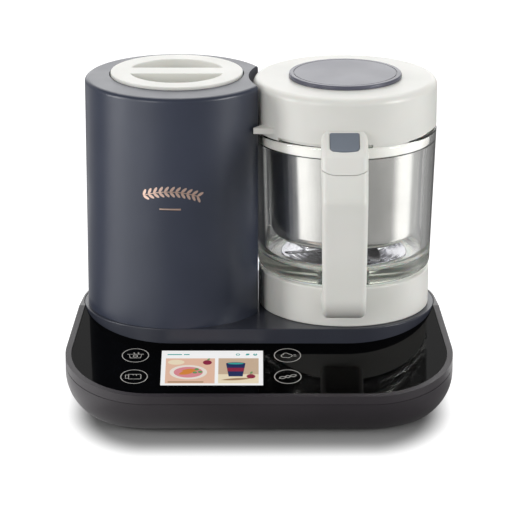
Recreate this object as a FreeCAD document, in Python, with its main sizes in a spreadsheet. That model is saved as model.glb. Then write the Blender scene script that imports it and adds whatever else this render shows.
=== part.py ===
"""Baby food maker: a steam tower and a blender jug side by side on a sloping touch-panel base.

Millimetres, +Z up, origin on the floor under the middle of the base's box.  Every size is a
cell of the sheet "dims" and every feature is bound to those cells, so a size is changed there.
The tower and jug pieces are drawn in their own local frames, whose z = 0 is the top of the plinth.
"""
import FreeCAD, Part
import math
import os
import re
import Sketcher

SIZES = {
    # base: a rounded trapezoid in plan, measured from the line through both vessel axes
    "front_reach": 142.4,        # axis line to the straight front edge
    "rear_radius": 69.0,         # round back corners, centred on the plinth's two ends
    "corner_radius": 62.0,       # front corners
    "side_angle": 6.0,           # each side closes towards the back by this much
    "foot_height": 3.0,
    "foot_radius": 9.0,
    "foot_x": 88.0,
    "foot_setback": 50.4,        # front feet, behind the front edge
    "foot_back": 34.0,
    "tub_wall": 2.6,
    "tub_round": 35.0,           # the tub curves in to its floor on this radius
    "tub_start": 3.0,            # how far below the floor that curve would end
    "slope_angle": 10.8,         # the panel falls towards the user
    "slope_start": 13.9,         # in front of the axis line
    "rim_width": 4.2,
    "rim_depth": 6.0,
    "rim_ledge": 3.2,
    "seam_gap": 0.5,
    "panel_recess": 0.8,
    "panel_thick": 3.0,
    "panel_gap": 0.2,
    # display and touch electronics, in the plane of the panel
    "display_long": 73.4,
    "display_wide": 49.0,
    "display_thick": 5.0,
    "display_recess": 0.3,
    "display_x": -33.9,
    "display_forward": 0.4,      # nearer to the rim than to the plinth by this much
    "touch_board_long": 150.0,
    "touch_board_wide": 50.0,
    "touch_board_x": -34.5,
    "board_thick": 1.6,
    "touch_radius": 9.5,
    "touch_x_left": -89.6,
    "touch_x_right": 20.5,
    "touch_rise": 15.4,
    # plinth
    "plinth_top": 57.5,
    "plinth_end": 63.0,          # centres of its round ends, left and right
    "plinth_radius": 67.5,
    "plinth_depth": 14.0,
    "plinth_plate": 3.0,
    "plinth_wall": 2.5,
    "plinth_edge": 0.8,
    "boss_radius": 5.0,
    "boss_x": 30.0,
    "boss_outer_x": 96.0,
    "boss_y": 42.0,
    "screw_radius": 1.7,
    "screw_length": 18.0,
    "screw_head_radius": 3.4,
    "screw_head": 1.8,
    "screw_play": 0.2,
    # tower and its water side
    "tower_x": -60.5,
    "tower_radius": 67.0,
    "tower_height": 172.8,
    "tower_edge": 3.0,
    "tower_wall": 2.2,
    "tower_plate": 3.0,
    "scoop_radius": 70.7,        # hollow in the tower's side that the jug stands in
    "tank_y": 7.0,
    "tank_radius": 46.6,
    "tank_wall": 2.0,
    "tank_bottom": 92.0,
    "collar_height": 5.0,
    "collar_drop": 3.2,
    "tank_lid_radius": 48.6,
    "tank_lid_gap": 0.9,
    "tank_lid_rise": 2.0,
    "tank_lid_rim": 3.6,
    "tank_lid_recess_radius": 34.6,
    "tank_lid_recess": 9.0,
    "tank_lid_floor": 2.0,
    "tank_plug_radius": 41.0,
    "tank_seal_height": 5.0,
    "grip_width": 17.0,
    "boiler_radius": 33.0,
    "boiler_bottom": 14.0,
    "boiler_top": 62.0,
    "boiler_wall": 2.5,
    "heater_section": 3.5,
    "heater_height": 24.0,
    "stand_width": 5.0,
    "thermostat_radius": 7.0,
    "thermostat_height": 7.0,
    "thermostat_x": -16.0,
    "thermostat_y": -14.0,
    "feed_radius": 4.0,
    "feed_bore": 2.6,
    "feed_x": -12.0,
    "feed_y": 14.0,
    "steam_radius": 3.0,
    "steam_bore": 2.0,
    "steam_bend": 6.5,
    "steam_run_height": 76.0,
    "steam_start": 12.0,
    "nozzle_x": 46.5,
    "nozzle_y": 20.6,
    "nozzle_height": 155.0,
    "nozzle_radius": 4.2,
    "nozzle_gap": 0.5,
    # motor under the jug
    "motor_radius": 33.0,
    "motor_depth": 40.0,
    "motor_wall": 1.6,
    "stator_inner": 19.0,
    "stator_bottom": 33.0,
    "stator_top": 11.0,
    "air_gap": 0.6,
    "shaft_radius": 4.0,
    "shaft_play": 0.05,
    "bush_wall": 3.0,
    "bush_length": 6.0,
    "hex_radius": 9.0,
    "drive_top": 11.0,
    "drive_bottom": 0.6,
    "drive_flange": 13.0,
    "drive_flange_thick": 1.8,
    # jug
    "jug_x": 63.0,
    "ring_radius": 63.2,
    "ring_height": 29.4,
    "ring_wall": 3.0,
    "ring_edge": 1.2,
    "locator_gap": 0.5,
    "locator_height": 2.5,
    "locator_wall": 3.0,
    "gasket_thick": 1.0,
    "glass_top": 136.0,
    "glass_top_radius": 67.5,
    "glass_foot_radius": 63.6,
    "glass_lip": 4.6,
    "glass_ledge": 126.7,
    "glass_ledge_radius": 60.5,
    "glass_base_radius": 58.3,
    "glass_floor": 9.0,
    "glass_edge": 1.6,
    "glass_foot_edge": 5.0,
    "glass_inner_round": 9.0,
    "hub_radius": 12.8,
    "hub_flange": 17.0,
    "hub_flange_thick": 3.0,
    "hub_dome": 11.0,
    "hub_top": 45.0,
    "hub_bottom": 19.0,
    "spindle_radius": 5.0,
    "driven_radius": 14.0,
    "driven_bottom": 4.0,
    "driven_top": 17.0,
    "mesh_gap": 0.35,
    "blade_hub_radius": 10.0,
    "blade_hub_bottom": 45.4,
    "blade_hub_top": 48.4,
    "blade_reach": 47.0,
    "blade_tip_height": 54.0,
    "blade_low": 41.5,
    "blade_low_radius": 27.0,
    "blade_thick": 1.3,
    "blade_width": 32.0,
    "nut_radius": 6.5,
    "nut_height": 4.0,
    # handle, drawn in side view
    "handle_shift": 2.2,         # its middle plane, left of the jug's axis
    "handle_width": 33.8,        # at the top of its head
    "handle_taper": 1.3,         # each side comes in by this much at its bottom
    "handle_edge": 4.5,
    "handle_break_round": 6.0,
    "handle_shoulder_round": 14.0,
    "handle_face": 104.0,        # jug axis to the outer face
    "handle_inner": 90.5,
    "handle_bottom": 16.0,
    "handle_bottom_round": 18.0,
    "handle_arm_top": 29.4,
    "handle_gap_round": 9.0,
    "handle_head_bottom": 116.0,
    "handle_gap_top": 103.0,
    "handle_head_top": 149.3,
    "handle_head_back": 68.0,
    "handle_break_y": 88.0,
    "handle_break_z": 136.4,
    "handle_shoulder": 108.0,
    "parting_height": 124.6,     # lowest point of the groove between grip and head
    "parting_rise": 9.0,
    "parting_gap": 0.4,
    "button_width": 20.8,
    "button_back": 69.7,
    "button_front": 84.6,
    "button_bow": 1.2,           # its front edge bows out by this much
    "button_bottom": 132.0,
    "button_proud": 0.5,
    "button_round": 3.2,
    "button_gap": 0.35,
    "button_travel": 2.5,
    "spring_radius": 3.0,
    "spring_wire": 0.4,
    "spring_bottom": 126.4,
    "spring_pitch": 2.0,
    # steam basket
    "basket_radius": 53.2,       # at the bottom, before its rounding
    "basket_wall": 1.0,
    "basket_bottom": 54.0,
    "basket_round": 8.0,
    "basket_top_radius": 56.6,
    "basket_seat": 0.3,          # its band stands this far above the glass ledge
    "basket_top": 135.0,
    "basket_hole": 1.6,
    "hole_pitch": 8.2,           # round each ring of holes in the basket's floor
    "hole_ring_1": 14.0,
    "hole_ring_2": 24.0,
    "hole_ring_3": 34.0,
    "hole_ring_4": 43.0,
    "band_radius": 61.9,
    "band_top": 138.0,
    "band_lip": 2.5,
    # jug lid
    "lid_radius": 67.3,
    "lid_bottom": 138.5,
    "lid_top": 172.4,
    "lid_round": 5.0,
    "lid_wall": 2.6,
    "lid_well_radius": 37.6,
    "lid_well_depth": 9.0,
    "lid_tab_drop": 2.2,
    "lid_tab_width": 2.8,
    "tab_left_start": 200.0,     # where each tab starts, and how far it goes round
    "tab_left_sweep": 23.0,
    "tab_right_start": 286.0,
    "tab_right_sweep": 26.0,
    "spout_reach": 79.5,
    "spout_angle": 211.0,
    "spout_left": 9.0,           # its foot on the lid, in degrees each way from its tip
    "spout_right": 5.0,
    "spout_rise": 1.5,
    "spout_height": 4.2,
    "seal_thick": 2.6,
    "seal_width": 6.0,
    "cap_radius": 41.3,
    "cap_gap": 0.2,
    "cap_height": 3.0,
    "cap_round": 1.0,
    "cap_plug_radius": 37.0,
    "cap_plug_depth": 7.0,
    "cap_groove_radius": 37.4,
    "cap_groove": 0.6,
    # rear cable entry and power board
    "gland_x": -60.0,
    "gland_height": 22.0,
    "gland_radius": 7.0,
    "gland_bore": 3.6,
    "gland_length": 7.0,
    "gland_fit": 0.1,
    "gland_inset": 0.1,          # short of the tub's back by this much
    "power_board_long": 84.0,
    "power_board_wide": 52.0,
    "power_board_height": 12.0,
    "power_part": 9.0,
    "switch_long": 20.0,
    "switch_wide": 6.0,
    "switch_tall": 10.0,
    "switch_x": 45.0,
    "vent_long": 40.0,
    "vent_wide": 3.0,
    "vent_pitch": 7.0,
    "tool_margin": 20.0,         # how far a cutting tool runs past what it cuts
}

doc = FreeCAD.newDocument("baby_food_maker")
sheet = doc.addObject("Spreadsheet::Sheet", "dims")
for row, (name, number) in enumerate(SIZES.items(), start=1):
    sheet.set(f"A{row}", name)
    sheet.set(f"B{row}", str(number))
    sheet.setAlias(f"B{row}", name)
doc.recompute()

AXIS_Y = "(front_reach - rear_radius) / 2"
DISPLAY_Y = "((plinth_radius + front_reach - rim_width - rim_ledge) / 2 + display_forward)"
BAND_BOTTOM = "(glass_ledge + basket_seat)"
SPRING_Y = "-(button_back + button_front) / 2"
PIECES = []


# ---------------------------------------------------------------- helpers
def value(text):
    """The number that an expression of sheet names gives."""
    return float(sheet.evalExpression(text))


def bind(thing, prop, text):
    """Tie one property to an expression of sheet names."""
    full = re.sub(r"\b([a-z]\w*)\b(?!\()", r"dims.\1", text)
    thing.setExpression(prop, full)


def new_body(name, x="0", y=AXIS_Y, z="0"):
    body = doc.addObject("PartDesign::Body", name)
    body.Label = name
    for letter, text in zip("xyz", (x, y, z)):
        bind(body, f"Placement.Base.{letter}", text)
    return body


def tower_body(name, x="0", y="0"):
    return new_body(name, f"tower_x + {x}", f"{AXIS_Y} + {y}", "plinth_top")


def jug_body(name):
    return new_body(name, "jug_x", AXIS_Y, "plinth_top")


def turn_body(body, axis, angle):
    """Turn a body about an axis through its own origin."""
    place = body.Placement
    place.Rotation = FreeCAD.Rotation(FreeCAD.Vector(*axis), 10)
    body.Placement = place
    bind(body, "Placement.Rotation.Angle", angle)


def panel_body(name, x="0", y="0"):
    """A body whose local x-y plane is the sloping top plane of the rim, centred on the display row."""
    rise = f"plinth_top - ({DISPLAY_Y} - slope_start) * tan(slope_angle)"
    body = new_body(name, x, f"{AXIS_Y} - {DISPLAY_Y} + ({y}) * cos(slope_angle)",
                    f"{rise} + ({y}) * sin(slope_angle)")
    turn_body(body, (1, 0, 0), "slope_angle")
    return body


def new_sketch(body, plane="XY_Plane", offset="0"):
    sketch = body.newObject("Sketcher::SketchObject", body.Name + "_sketch")
    support = next(o for o in body.Origin.OriginFeatures if o.Role == plane)
    sketch.AttachmentSupport = [(support, "")]
    sketch.MapMode = "FlatFace"
    bind(sketch, "AttachmentOffset.Base.z", offset)
    return sketch


def fix_point(sketch, element, point, x, y):
    """Hold one point of a sketch element at (x, y) from the sketch's origin."""
    for kind, text in (("DistanceX", x), ("DistanceY", y)):
        index = sketch.addConstraint(Sketcher.Constraint(kind, -1, 1, element, point, value(text)))
        bind(sketch, f"Constraints[{index}]", text)


def fix_radius(sketch, element, text):
    index = sketch.addConstraint(Sketcher.Constraint("Radius", element, value(text)))
    bind(sketch, f"Constraints[{index}]", text)


def draw_circle(sketch, radius, x="0", y="0"):
    centre = FreeCAD.Vector(value(x), value(y), 0)
    element = sketch.addGeometry(Part.Circle(centre, FreeCAD.Vector(0, 0, 1), value(radius)), False)
    fix_radius(sketch, element, radius)
    fix_point(sketch, element, 3, x, y)


def draw_outline(sketch, corners):
    """A closed outline of straight runs.  A corner is (x, y) or (x, y, rounding), as expressions."""
    points = [FreeCAD.Vector(value(c[0]), value(c[1]), 0) for c in corners]
    count = len(corners)
    ways = [(points[(i + 1) % count] - points[i]).normalize() for i in range(count)]
    setbacks = [0.0] * count
    for i, corner in enumerate(corners):
        if len(corner) == 3:
            turn = ways[i - 1].getAngle(ways[i])
            setbacks[i] = value(corner[2]) * math.tan(turn / 2)
    lines = []
    for i in range(count):
        start = points[i] + ways[i] * setbacks[i]
        end = points[(i + 1) % count] - ways[i] * setbacks[(i + 1) % count]
        lines.append(sketch.addGeometry(Part.LineSegment(start, end), False))
    for i, corner in enumerate(corners):
        before, after = lines[i - 1], lines[i]
        if len(corner) == 2:
            sketch.addConstraint(Sketcher.Constraint("Coincident", before, 2, after, 1))
            fix_point(sketch, after, 1, corner[0], corner[1])
            continue
        enter = points[i] - ways[i - 1] * setbacks[i]
        leave = points[i] + ways[i] * setbacks[i]
        inward = (ways[i] - ways[i - 1]).normalize()
        centre_reach = (value(corner[2]) ** 2 + setbacks[i] ** 2) ** 0.5
        centre = points[i] + inward * centre_reach
        middle = centre - inward * value(corner[2])
        arc = sketch.addGeometry(Part.Arc(enter, middle, leave), False)
        left_turn = ways[i - 1].cross(ways[i]).z > 0
        first, last = (1, 2) if left_turn else (2, 1)
        sketch.addConstraint(Sketcher.Constraint("Tangent", before, 2, arc, first))
        sketch.addConstraint(Sketcher.Constraint("Tangent", arc, last, after, 1))
        fix_radius(sketch, arc, corner[2])
        mark = sketch.addGeometry(Part.Point(points[i]), True)
        sketch.addConstraint(Sketcher.Constraint("PointOnObject", mark, 1, before))
        sketch.addConstraint(Sketcher.Constraint("PointOnObject", mark, 1, after))
        fix_point(sketch, mark, 1, corner[0], corner[1])


def draw_rectangle(sketch, left, right, low, high, rounding=None):
    extra = (rounding,) if rounding else ()
    draw_outline(sketch, [(left, low) + extra, (right, low) + extra,
                          (right, high) + extra, (left, high) + extra])


def draw_stadium(sketch, reach, radius):
    """Two half circles on the x axis, joined by straight sides."""
    s, r = value(reach), value(radius)
    up = FreeCAD.Vector(0, 0, 1)
    top = sketch.addGeometry(Part.LineSegment(FreeCAD.Vector(s, r, 0), FreeCAD.Vector(-s, r, 0)), False)
    low = sketch.addGeometry(Part.LineSegment(-FreeCAD.Vector(s, r, 0), FreeCAD.Vector(s, -r, 0)), False)
    quarter = math.pi / 2
    right = sketch.addGeometry(
        Part.ArcOfCircle(Part.Circle(FreeCAD.Vector(s, 0, 0), up, r), -quarter, quarter), False)
    left = sketch.addGeometry(
        Part.ArcOfCircle(Part.Circle(FreeCAD.Vector(-s, 0, 0), up, r), quarter, 3 * quarter), False)
    for first, first_end, second, second_end in ((low, 2, right, 1), (right, 2, top, 1),
                                                 (top, 2, left, 1), (left, 2, low, 1)):
        sketch.addConstraint(Sketcher.Constraint("Tangent", first, first_end, second, second_end))
    fix_point(sketch, right, 3, reach, "0")
    fix_point(sketch, left, 3, f"-({reach})", "0")
    fix_radius(sketch, right, radius)
    fix_radius(sketch, left, radius)


def feature(body, kind, sketch, **bound):
    made = body.newObject("PartDesign::" + kind, f"{body.Name}_{kind.lower()}")
    made.Profile = sketch
    for prop, text in bound.items():
        bind(made, prop, text)
    return made


def pad(body, sketch, length, side="One side", down=False):
    made = feature(body, "Pad", sketch, Length=length)
    made.SideType = side
    made.Reversed = down
    return made


def pocket(body, sketch, length=None, side="One side", up=False):
    """Cut a sketch out of a body, and check that it cut something."""
    doc.recompute()
    before = body.Shape.Volume
    made = feature(body, "Pocket", sketch)
    made.SideType = side
    made.Reversed = up
    if length is None:
        made.Type = "ThroughAll"
    else:
        bind(made, "Length", length)
    doc.recompute()
    if body.Shape.Volume > before - 1e-6:
        raise RuntimeError(f"a pocket in {body.Label} cuts nothing")
    return made


def revolve(body, corners, sweep="360"):
    """A solid of revolution about the body's z axis, from (radius, height) corners."""
    sketch = new_sketch(body, "XZ_Plane")
    draw_outline(sketch, corners)
    made = feature(body, "Revolution", sketch)
    made.ReferenceAxis = (sketch, ["V_Axis"])
    bind(made, "Angle", sweep)
    return made


def ring(body, inner, outer, low, high):
    return revolve(body, [(inner, low), (outer, low), (outer, high), (inner, high)])


def fillet(body, radius, chooser):
    """Round the edges of a body that the chooser picks."""
    doc.recompute()
    tip = body.Tip
    names = [f"Edge{i}" for i, edge in enumerate(tip.Shape.Edges, start=1) if chooser(edge)]
    made = body.newObject("PartDesign::Fillet", body.Name + "_fillet")
    made.Base = (tip, names)
    bind(made, "Radius", radius)
    return made


def circular_copies(body, made, count):
    """Repeat a feature round the body's z axis."""
    doc.recompute()
    pattern = body.newObject("PartDesign::PolarPattern", body.Name + "_pattern")
    pattern.Originals = [made]
    axis = next(o for o in body.Origin.OriginFeatures if o.Role == "Z_Axis")
    pattern.Axis = (axis, [""])
    pattern.Angle = 360
    pattern.Occurrences = count
    body.Tip = pattern
    return pattern


def boolean(kind, name, base, tool):
    made = doc.addObject("Part::" + kind, name)
    made.Label = name
    made.Base = base
    made.Tool = tool
    return made


def cut(name, base, *tools):
    """The base less each tool in turn."""
    for number, tool in enumerate(tools, start=1):
        last = number == len(tools)
        base = boolean("Cut", name if last else f"{name}_stage_{number}", base, tool)
    return base


def fuse(name, base, *others):
    for number, other in enumerate(others, start=1):
        last = number == len(others)
        base = boolean("Fuse", name if last else f"{name}_stage_{number}", base, other)
    return base


def group(name, members):
    """Separate solids that share one node."""
    made = doc.addObject("Part::Compound", name)
    made.Label = name
    made.Links = members
    return made


def keep(thing):
    """Count an object as a finished sub-part."""
    PIECES.append(thing)
    return thing


# ---------------------------------------------------------------- base outline
def base_corners(inset):
    """Plan outline of the base, moved inwards by an inset."""
    reach = f"(front_reach - ({inset}))"
    back = f"(rear_radius - ({inset}))"
    front_x = f"plinth_end + ({back} + {reach} * sin(side_angle)) / cos(side_angle)"
    back_x = f"plinth_end + ({back} - {back} * sin(side_angle)) / cos(side_angle)"
    front_round = f"corner_radius - ({inset})"
    return [(f"-({front_x})", f"-{reach}", front_round), (front_x, f"-{reach}", front_round),
            (back_x, back, back), (f"-({back_x})", back, back)]


def surface_height(distance, drop):
    """Height of the rim plane, lowered by a drop, at a distance in front of the axis line."""
    return f"plinth_top - ({drop}) - (({distance}) - slope_start) * tan(slope_angle)"


def trim(body, drop, above):
    """Cut away what lies above (or below) the rim plane lowered by a drop."""
    far = "(front_reach + tool_margin)"
    back = "rear_radius + tool_margin"
    limit = "plinth_top + 3 * tool_margin" if above else "-3 * tool_margin"
    line = [(f"-{far}", surface_height(far, drop)),
            ("-slope_start", f"plinth_top - ({drop})"),
            (back, f"plinth_top - ({drop})")]
    sketch = new_sketch(body, "YZ_Plane")
    draw_outline(sketch, line + [(back, limit), (f"-{far}", limit)])
    pocket(body, sketch, side="Symmetric")


def slab(name, inset, top_drop, bottom_drop):
    """A plate that follows the rim plane, with the base's outline moved inwards."""
    body = new_body(name)
    sketch = new_sketch(body)
    draw_outline(sketch, base_corners(inset))
    pad(body, sketch, "plinth_top + tool_margin")
    if top_drop is not None:
        trim(body, top_drop, above=True)
    trim(body, bottom_drop, above=False)
    return body


def tub_form(name, inset, floor):
    """The tub's round-bottomed form, moved inwards, with a flat floor."""
    body = new_body(name)
    sketch = new_sketch(body, offset=f"{inset} - tub_start")
    draw_outline(sketch, base_corners(inset))
    pad(body, sketch, "plinth_top + tool_margin")
    start = value(f"{inset} - tub_start")
    fillet(body, f"tub_round - ({inset})",
           lambda e: abs(e.BoundBox.ZMax - start) < 0.01 and abs(e.BoundBox.ZMin - start) < 0.01)
    low = new_sketch(body, offset=floor)
    draw_outline(low, base_corners("-tool_margin"))
    pocket(body, low)
    return body


def stadium_tool(name, radius, low="0"):
    """Everything inside the plinth's outline, from a height up."""
    body = new_body(name)
    sketch = new_sketch(body, offset=low)
    draw_stadium(sketch, "plinth_end", radius)
    pad(body, sketch, "plinth_top + tool_margin")
    return body


def cylinder(name, radius, height, x="0", y="0", z="0"):
    """A Part cylinder that stands at a place measured from the axis line."""
    made = doc.addObject("Part::Cylinder", name)
    made.Label = name
    bind(made, "Radius", radius)
    bind(made, "Height", height)
    for letter, text in zip("xyz", (x, f"{AXIS_Y} + ({y})", z)):
        bind(made, f"Placement.Base.{letter}", text)
    return made


BOSS_PLACES = [("-boss_outer_x", "-boss_y"), ("boss_outer_x", "-boss_y"), ("-boss_x", "boss_y"),
               ("boss_x", "boss_y")]
FOOT_FRONT = "foot_setback - front_reach"
FOOT_PLACES = [("-foot_x", FOOT_FRONT), ("foot_x", FOOT_FRONT), ("-foot_x", "foot_back"),
               ("foot_x", "foot_back")]
TUB_FLOOR = "foot_height + tub_wall"


def build_tub():
    outer = tub_form("tub_outside", "0", "foot_height")
    trim(outer, "rim_depth + seam_gap", above=True)
    inner = tub_form("tub_inside", "tub_wall", TUB_FLOOR)
    tools = [inner]
    for number, (x, y) in enumerate(BOSS_PLACES):
        hole = cylinder(f"tub_hole_{number}", "screw_radius + screw_play", "plinth_top", x, y)
        head = cylinder(f"tub_head_{number}", "screw_head_radius + screw_play",
                        "foot_height + screw_head", x, y)
        tools += [hole, head]
    tools.append(stadium_tool("tub_plinth_seat", "plinth_radius + panel_gap",
                              "plinth_top - plinth_depth - panel_gap"))
    gland = gland_form("gland_hole", "gland_radius + gland_fit", "gland_length + tool_margin")
    tools.append(gland)
    for number, step in enumerate((-2, -1, 0, 1, 2)):
        slot = new_body(f"vent_slot_{number}", "jug_x", f"{AXIS_Y} + {step} * vent_pitch")
        sketch = new_sketch(slot)
        draw_rectangle(sketch, "-vent_long / 2", "vent_long / 2", "-vent_wide / 2", "vent_wide / 2")
        pad(slot, sketch, "3 * tub_wall")
        tools.append(slot)
    keep(cut("base_tub", outer, *tools))


def gland_form(name, radius, length):
    """A cylinder along +Y that ends at the back of the base."""
    body = new_body(name, "gland_x", f"{AXIS_Y} + rear_radius", "gland_height")
    sketch = new_sketch(body, "XZ_Plane", "gland_inset")
    draw_circle(sketch, radius)
    pad(body, sketch, length)
    return body


def build_base_trim():
    rim = slab("rim_outside", "0", "0", "rim_depth")
    opening = slab("rim_opening", "rim_width + rim_ledge", None, "rim_depth + tool_margin")
    seat = slab("rim_seat", "rim_width", None, "panel_recess + panel_thick")
    plinth_hole = stadium_tool("rim_plinth_hole", "plinth_radius + panel_gap")
    keep(cut("base_rim", rim, opening, seat, plinth_hole))

    plate = slab("panel_plate", "rim_width + panel_gap", "panel_recess", "panel_recess + panel_thick")
    window = panel_body("display_window", "display_x")
    sketch = new_sketch(window, offset="-tool_margin")
    draw_rectangle(sketch, "-display_long / 2 - panel_gap", "display_long / 2 + panel_gap",
                   "-display_wide / 2 - panel_gap", "display_wide / 2 + panel_gap")
    pad(window, sketch, "2 * tool_margin")
    keep(cut("control_panel", plate, window,
             stadium_tool("panel_plinth_hole", "plinth_radius + panel_gap")))


def build_display():
    display = panel_body("display_module", "display_x")
    top = "-panel_recess - display_recess"
    sketch = new_sketch(display, offset=f"{top} - display_thick")
    draw_rectangle(sketch, "-display_long / 2", "display_long / 2",
                   "-display_wide / 2", "display_wide / 2")
    pad(display, sketch, "display_thick")
    keep(display)

    board_top = f"{top} - display_thick"
    board = panel_body("touch_board", "touch_board_x")
    sketch = new_sketch(board, offset=f"{board_top} - board_thick")
    draw_rectangle(sketch, "-touch_board_long / 2", "touch_board_long / 2",
                   "-touch_board_wide / 2", "touch_board_wide / 2")
    pad(board, sketch, "board_thick")
    keep(board)

    pads = []
    for number, x in enumerate(("touch_x_left", "touch_x_right")):
        for row, sign in (("low", "-"), ("high", "")):
            spacer = panel_body(f"touch_spacer_{number}_{row}", x, f"{sign}touch_rise")
            sketch = new_sketch(spacer, offset=board_top)
            draw_circle(sketch, "touch_radius - 2 * panel_gap")
            pad(spacer, sketch, f"-panel_recess - panel_thick - ({board_top})")
            pads.append(spacer)
    keep(group("touch_sensors", pads))


def build_plinth():
    body = new_body("plinth")
    sketch = new_sketch(body, offset="plinth_top")
    draw_stadium(sketch, "plinth_end", "plinth_radius")
    pad(body, sketch, "plinth_depth", down=True)
    sketch = new_sketch(body, offset="plinth_top - plinth_depth")
    draw_stadium(sketch, "plinth_end", "plinth_radius - plinth_wall")
    pocket(body, sketch, "plinth_depth - plinth_plate", up=True)
    top = value("plinth_top")
    fillet(body, "plinth_edge", lambda e: e.BoundBox.ZMin > top - 0.01)
    for x, y in BOSS_PLACES:
        sketch = new_sketch(body, offset=TUB_FLOOR)
        draw_circle(sketch, "boss_radius", x, y)
        pad(body, sketch, f"plinth_top - plinth_plate - ({TUB_FLOOR})")
    sketch = new_sketch(body, offset=TUB_FLOOR)
    for x, y in BOSS_PLACES:
        draw_circle(sketch, "screw_radius + screw_play", x, y)
    pocket(body, sketch, "screw_length + screw_radius", up=True)
    locator = "(ring_radius - ring_wall - locator_gap)"
    sketch = new_sketch(body, offset="plinth_top")
    draw_circle(sketch, locator, "jug_x")
    draw_circle(sketch, f"{locator} - locator_wall", "jug_x")
    pad(body, sketch, "locator_height")
    sketch = new_sketch(body, offset="plinth_top")
    draw_circle(sketch, "shaft_radius + shaft_play + bush_wall", "jug_x")
    draw_circle(sketch, "boiler_radius - 3 * stand_width", "tower_x")
    pocket(body, sketch, "plinth_depth")
    keep(body)


def build_fasteners():
    feet = []
    screws = []
    for number, (x, y) in enumerate(FOOT_PLACES):
        feet.append(cylinder(f"foot_{number}", "foot_radius", "foot_height", x, y))
    for number, (x, y) in enumerate(BOSS_PLACES):
        screw = new_body(f"screw_{number}", x, f"{AXIS_Y} + {y}", "foot_height")
        revolve(screw, [("0", "screw_play"), ("screw_head_radius", "screw_play"),
                        ("screw_head_radius", "screw_head"), ("screw_radius", "screw_head"),
                        ("screw_radius", "screw_length"), ("0", "screw_length")])
        screws.append(screw)
    keep(group("rubber_feet", feet))
    keep(group("base_screws", screws))


def build_power():
    gland = new_body("cable_gland", "gland_x", f"{AXIS_Y} + rear_radius", "gland_height")
    sketch = new_sketch(gland, "XZ_Plane", "gland_inset")
    draw_circle(sketch, "gland_radius")
    draw_circle(sketch, "gland_bore")
    pad(gland, sketch, "gland_length")
    keep(gland)

    board = new_body("power_board", "tower_x", AXIS_Y, "0")
    sketch = new_sketch(board, offset="power_board_height")
    draw_rectangle(sketch, "-power_board_long / 2", "power_board_long / 2",
                   "-power_board_wide / 2", "power_board_wide / 2")
    pad(board, sketch, "board_thick")
    for x, y in (("power_part", "power_part"), ("-2 * power_part", "-power_part / 2")):
        sketch = new_sketch(board, offset="power_board_height + board_thick")
        draw_rectangle(sketch, f"{x} - power_part", f"{x} + power_part",
                       f"{y} - power_part / 2", f"{y} + power_part")
        pad(board, sketch, "power_part")
    for x in ("-power_board_long / 2 + board_thick * 2", "power_board_long / 2 - board_thick * 2"):
        for y in ("-power_board_wide / 2 + board_thick * 2", "power_board_wide / 2 - board_thick * 2"):
            sketch = new_sketch(board, offset=TUB_FLOOR)
            draw_circle(sketch, "screw_radius", x, y)
            pad(board, sketch, f"power_board_height - ({TUB_FLOOR})")
    keep(board)

    switch = new_body("jug_switch", "jug_x + switch_x", AXIS_Y, "plinth_top - plinth_plate")
    sketch = new_sketch(switch)
    draw_rectangle(sketch, "-switch_wide / 2", "switch_wide / 2", "-switch_long / 2", "switch_long / 2")
    pad(switch, sketch, "switch_tall", down=True)
    keep(switch)


# ---------------------------------------------------------------- tower
def tower_form(name, inset, bottom, top, edge=None):
    body = tower_body(name)
    radius = f"tower_radius - ({inset})"
    corner = (radius, top, edge) if edge else (radius, top)
    revolve(body, [("0", bottom), (radius, bottom), corner, ("0", top)])
    sketch = new_sketch(body, offset=f"{bottom} - tool_margin")
    draw_circle(sketch, f"scoop_radius + ({inset})", "jug_x - tower_x")
    pocket(body, sketch, up=True)
    return body


def build_tower():
    outer = tower_form("tower_outside", "0", "0", "tower_height", "tower_edge")
    inner = tower_form("tower_inside", "tower_wall", "-tool_margin", "tower_height - tower_plate")
    mouth = tower_body("tower_mouth", y="tank_y")
    ring(mouth, "0", "tank_lid_radius + tank_lid_gap", "boiler_top", "tower_height + tool_margin")
    nozzle_hole = nozzle_form("nozzle_hole", "nozzle_radius + gland_fit", "tool_margin")
    keep(cut("tower_shell", outer, inner, mouth, nozzle_hole))

    collar_top = "tower_height - collar_drop"
    collar = tower_body("tank_collar", y="tank_y")
    ring(collar, "tank_radius - tank_wall", "tank_lid_radius + tank_lid_gap - gland_fit",
         f"{collar_top} - collar_height", collar_top)
    keep(collar)

    tank = tower_body("water_tank", y="tank_y")
    revolve(tank, [("0", "tank_bottom"), ("tank_radius", "tank_bottom", "tank_wall * 3"),
                   ("tank_radius", f"{collar_top} - collar_height"),
                   ("tank_radius - tank_wall", f"{collar_top} - collar_height"),
                   ("tank_radius - tank_wall", "tank_bottom + tank_wall", "tank_wall * 2"),
                   ("0", "tank_bottom + tank_wall")])
    keep(tank)


def nozzle_form(name, radius, extra="0"):
    """A round bar from the top of the steam tube towards the jug axis."""
    run = "jug_x - tower_x - nozzle_x"
    body = tower_body(name, "nozzle_x", "-nozzle_y")
    turn_body(body, (0, 0, 1), f"atan(nozzle_y / ({run}))")
    length = f"sqrt(({run}) ^ 2 + nozzle_y ^ 2) - glass_top_radius - nozzle_gap"
    sketch = new_sketch(body, "YZ_Plane")
    draw_circle(sketch, radius, "0", "nozzle_height")
    pad(body, sketch, f"{length} + {extra}")
    return body


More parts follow.
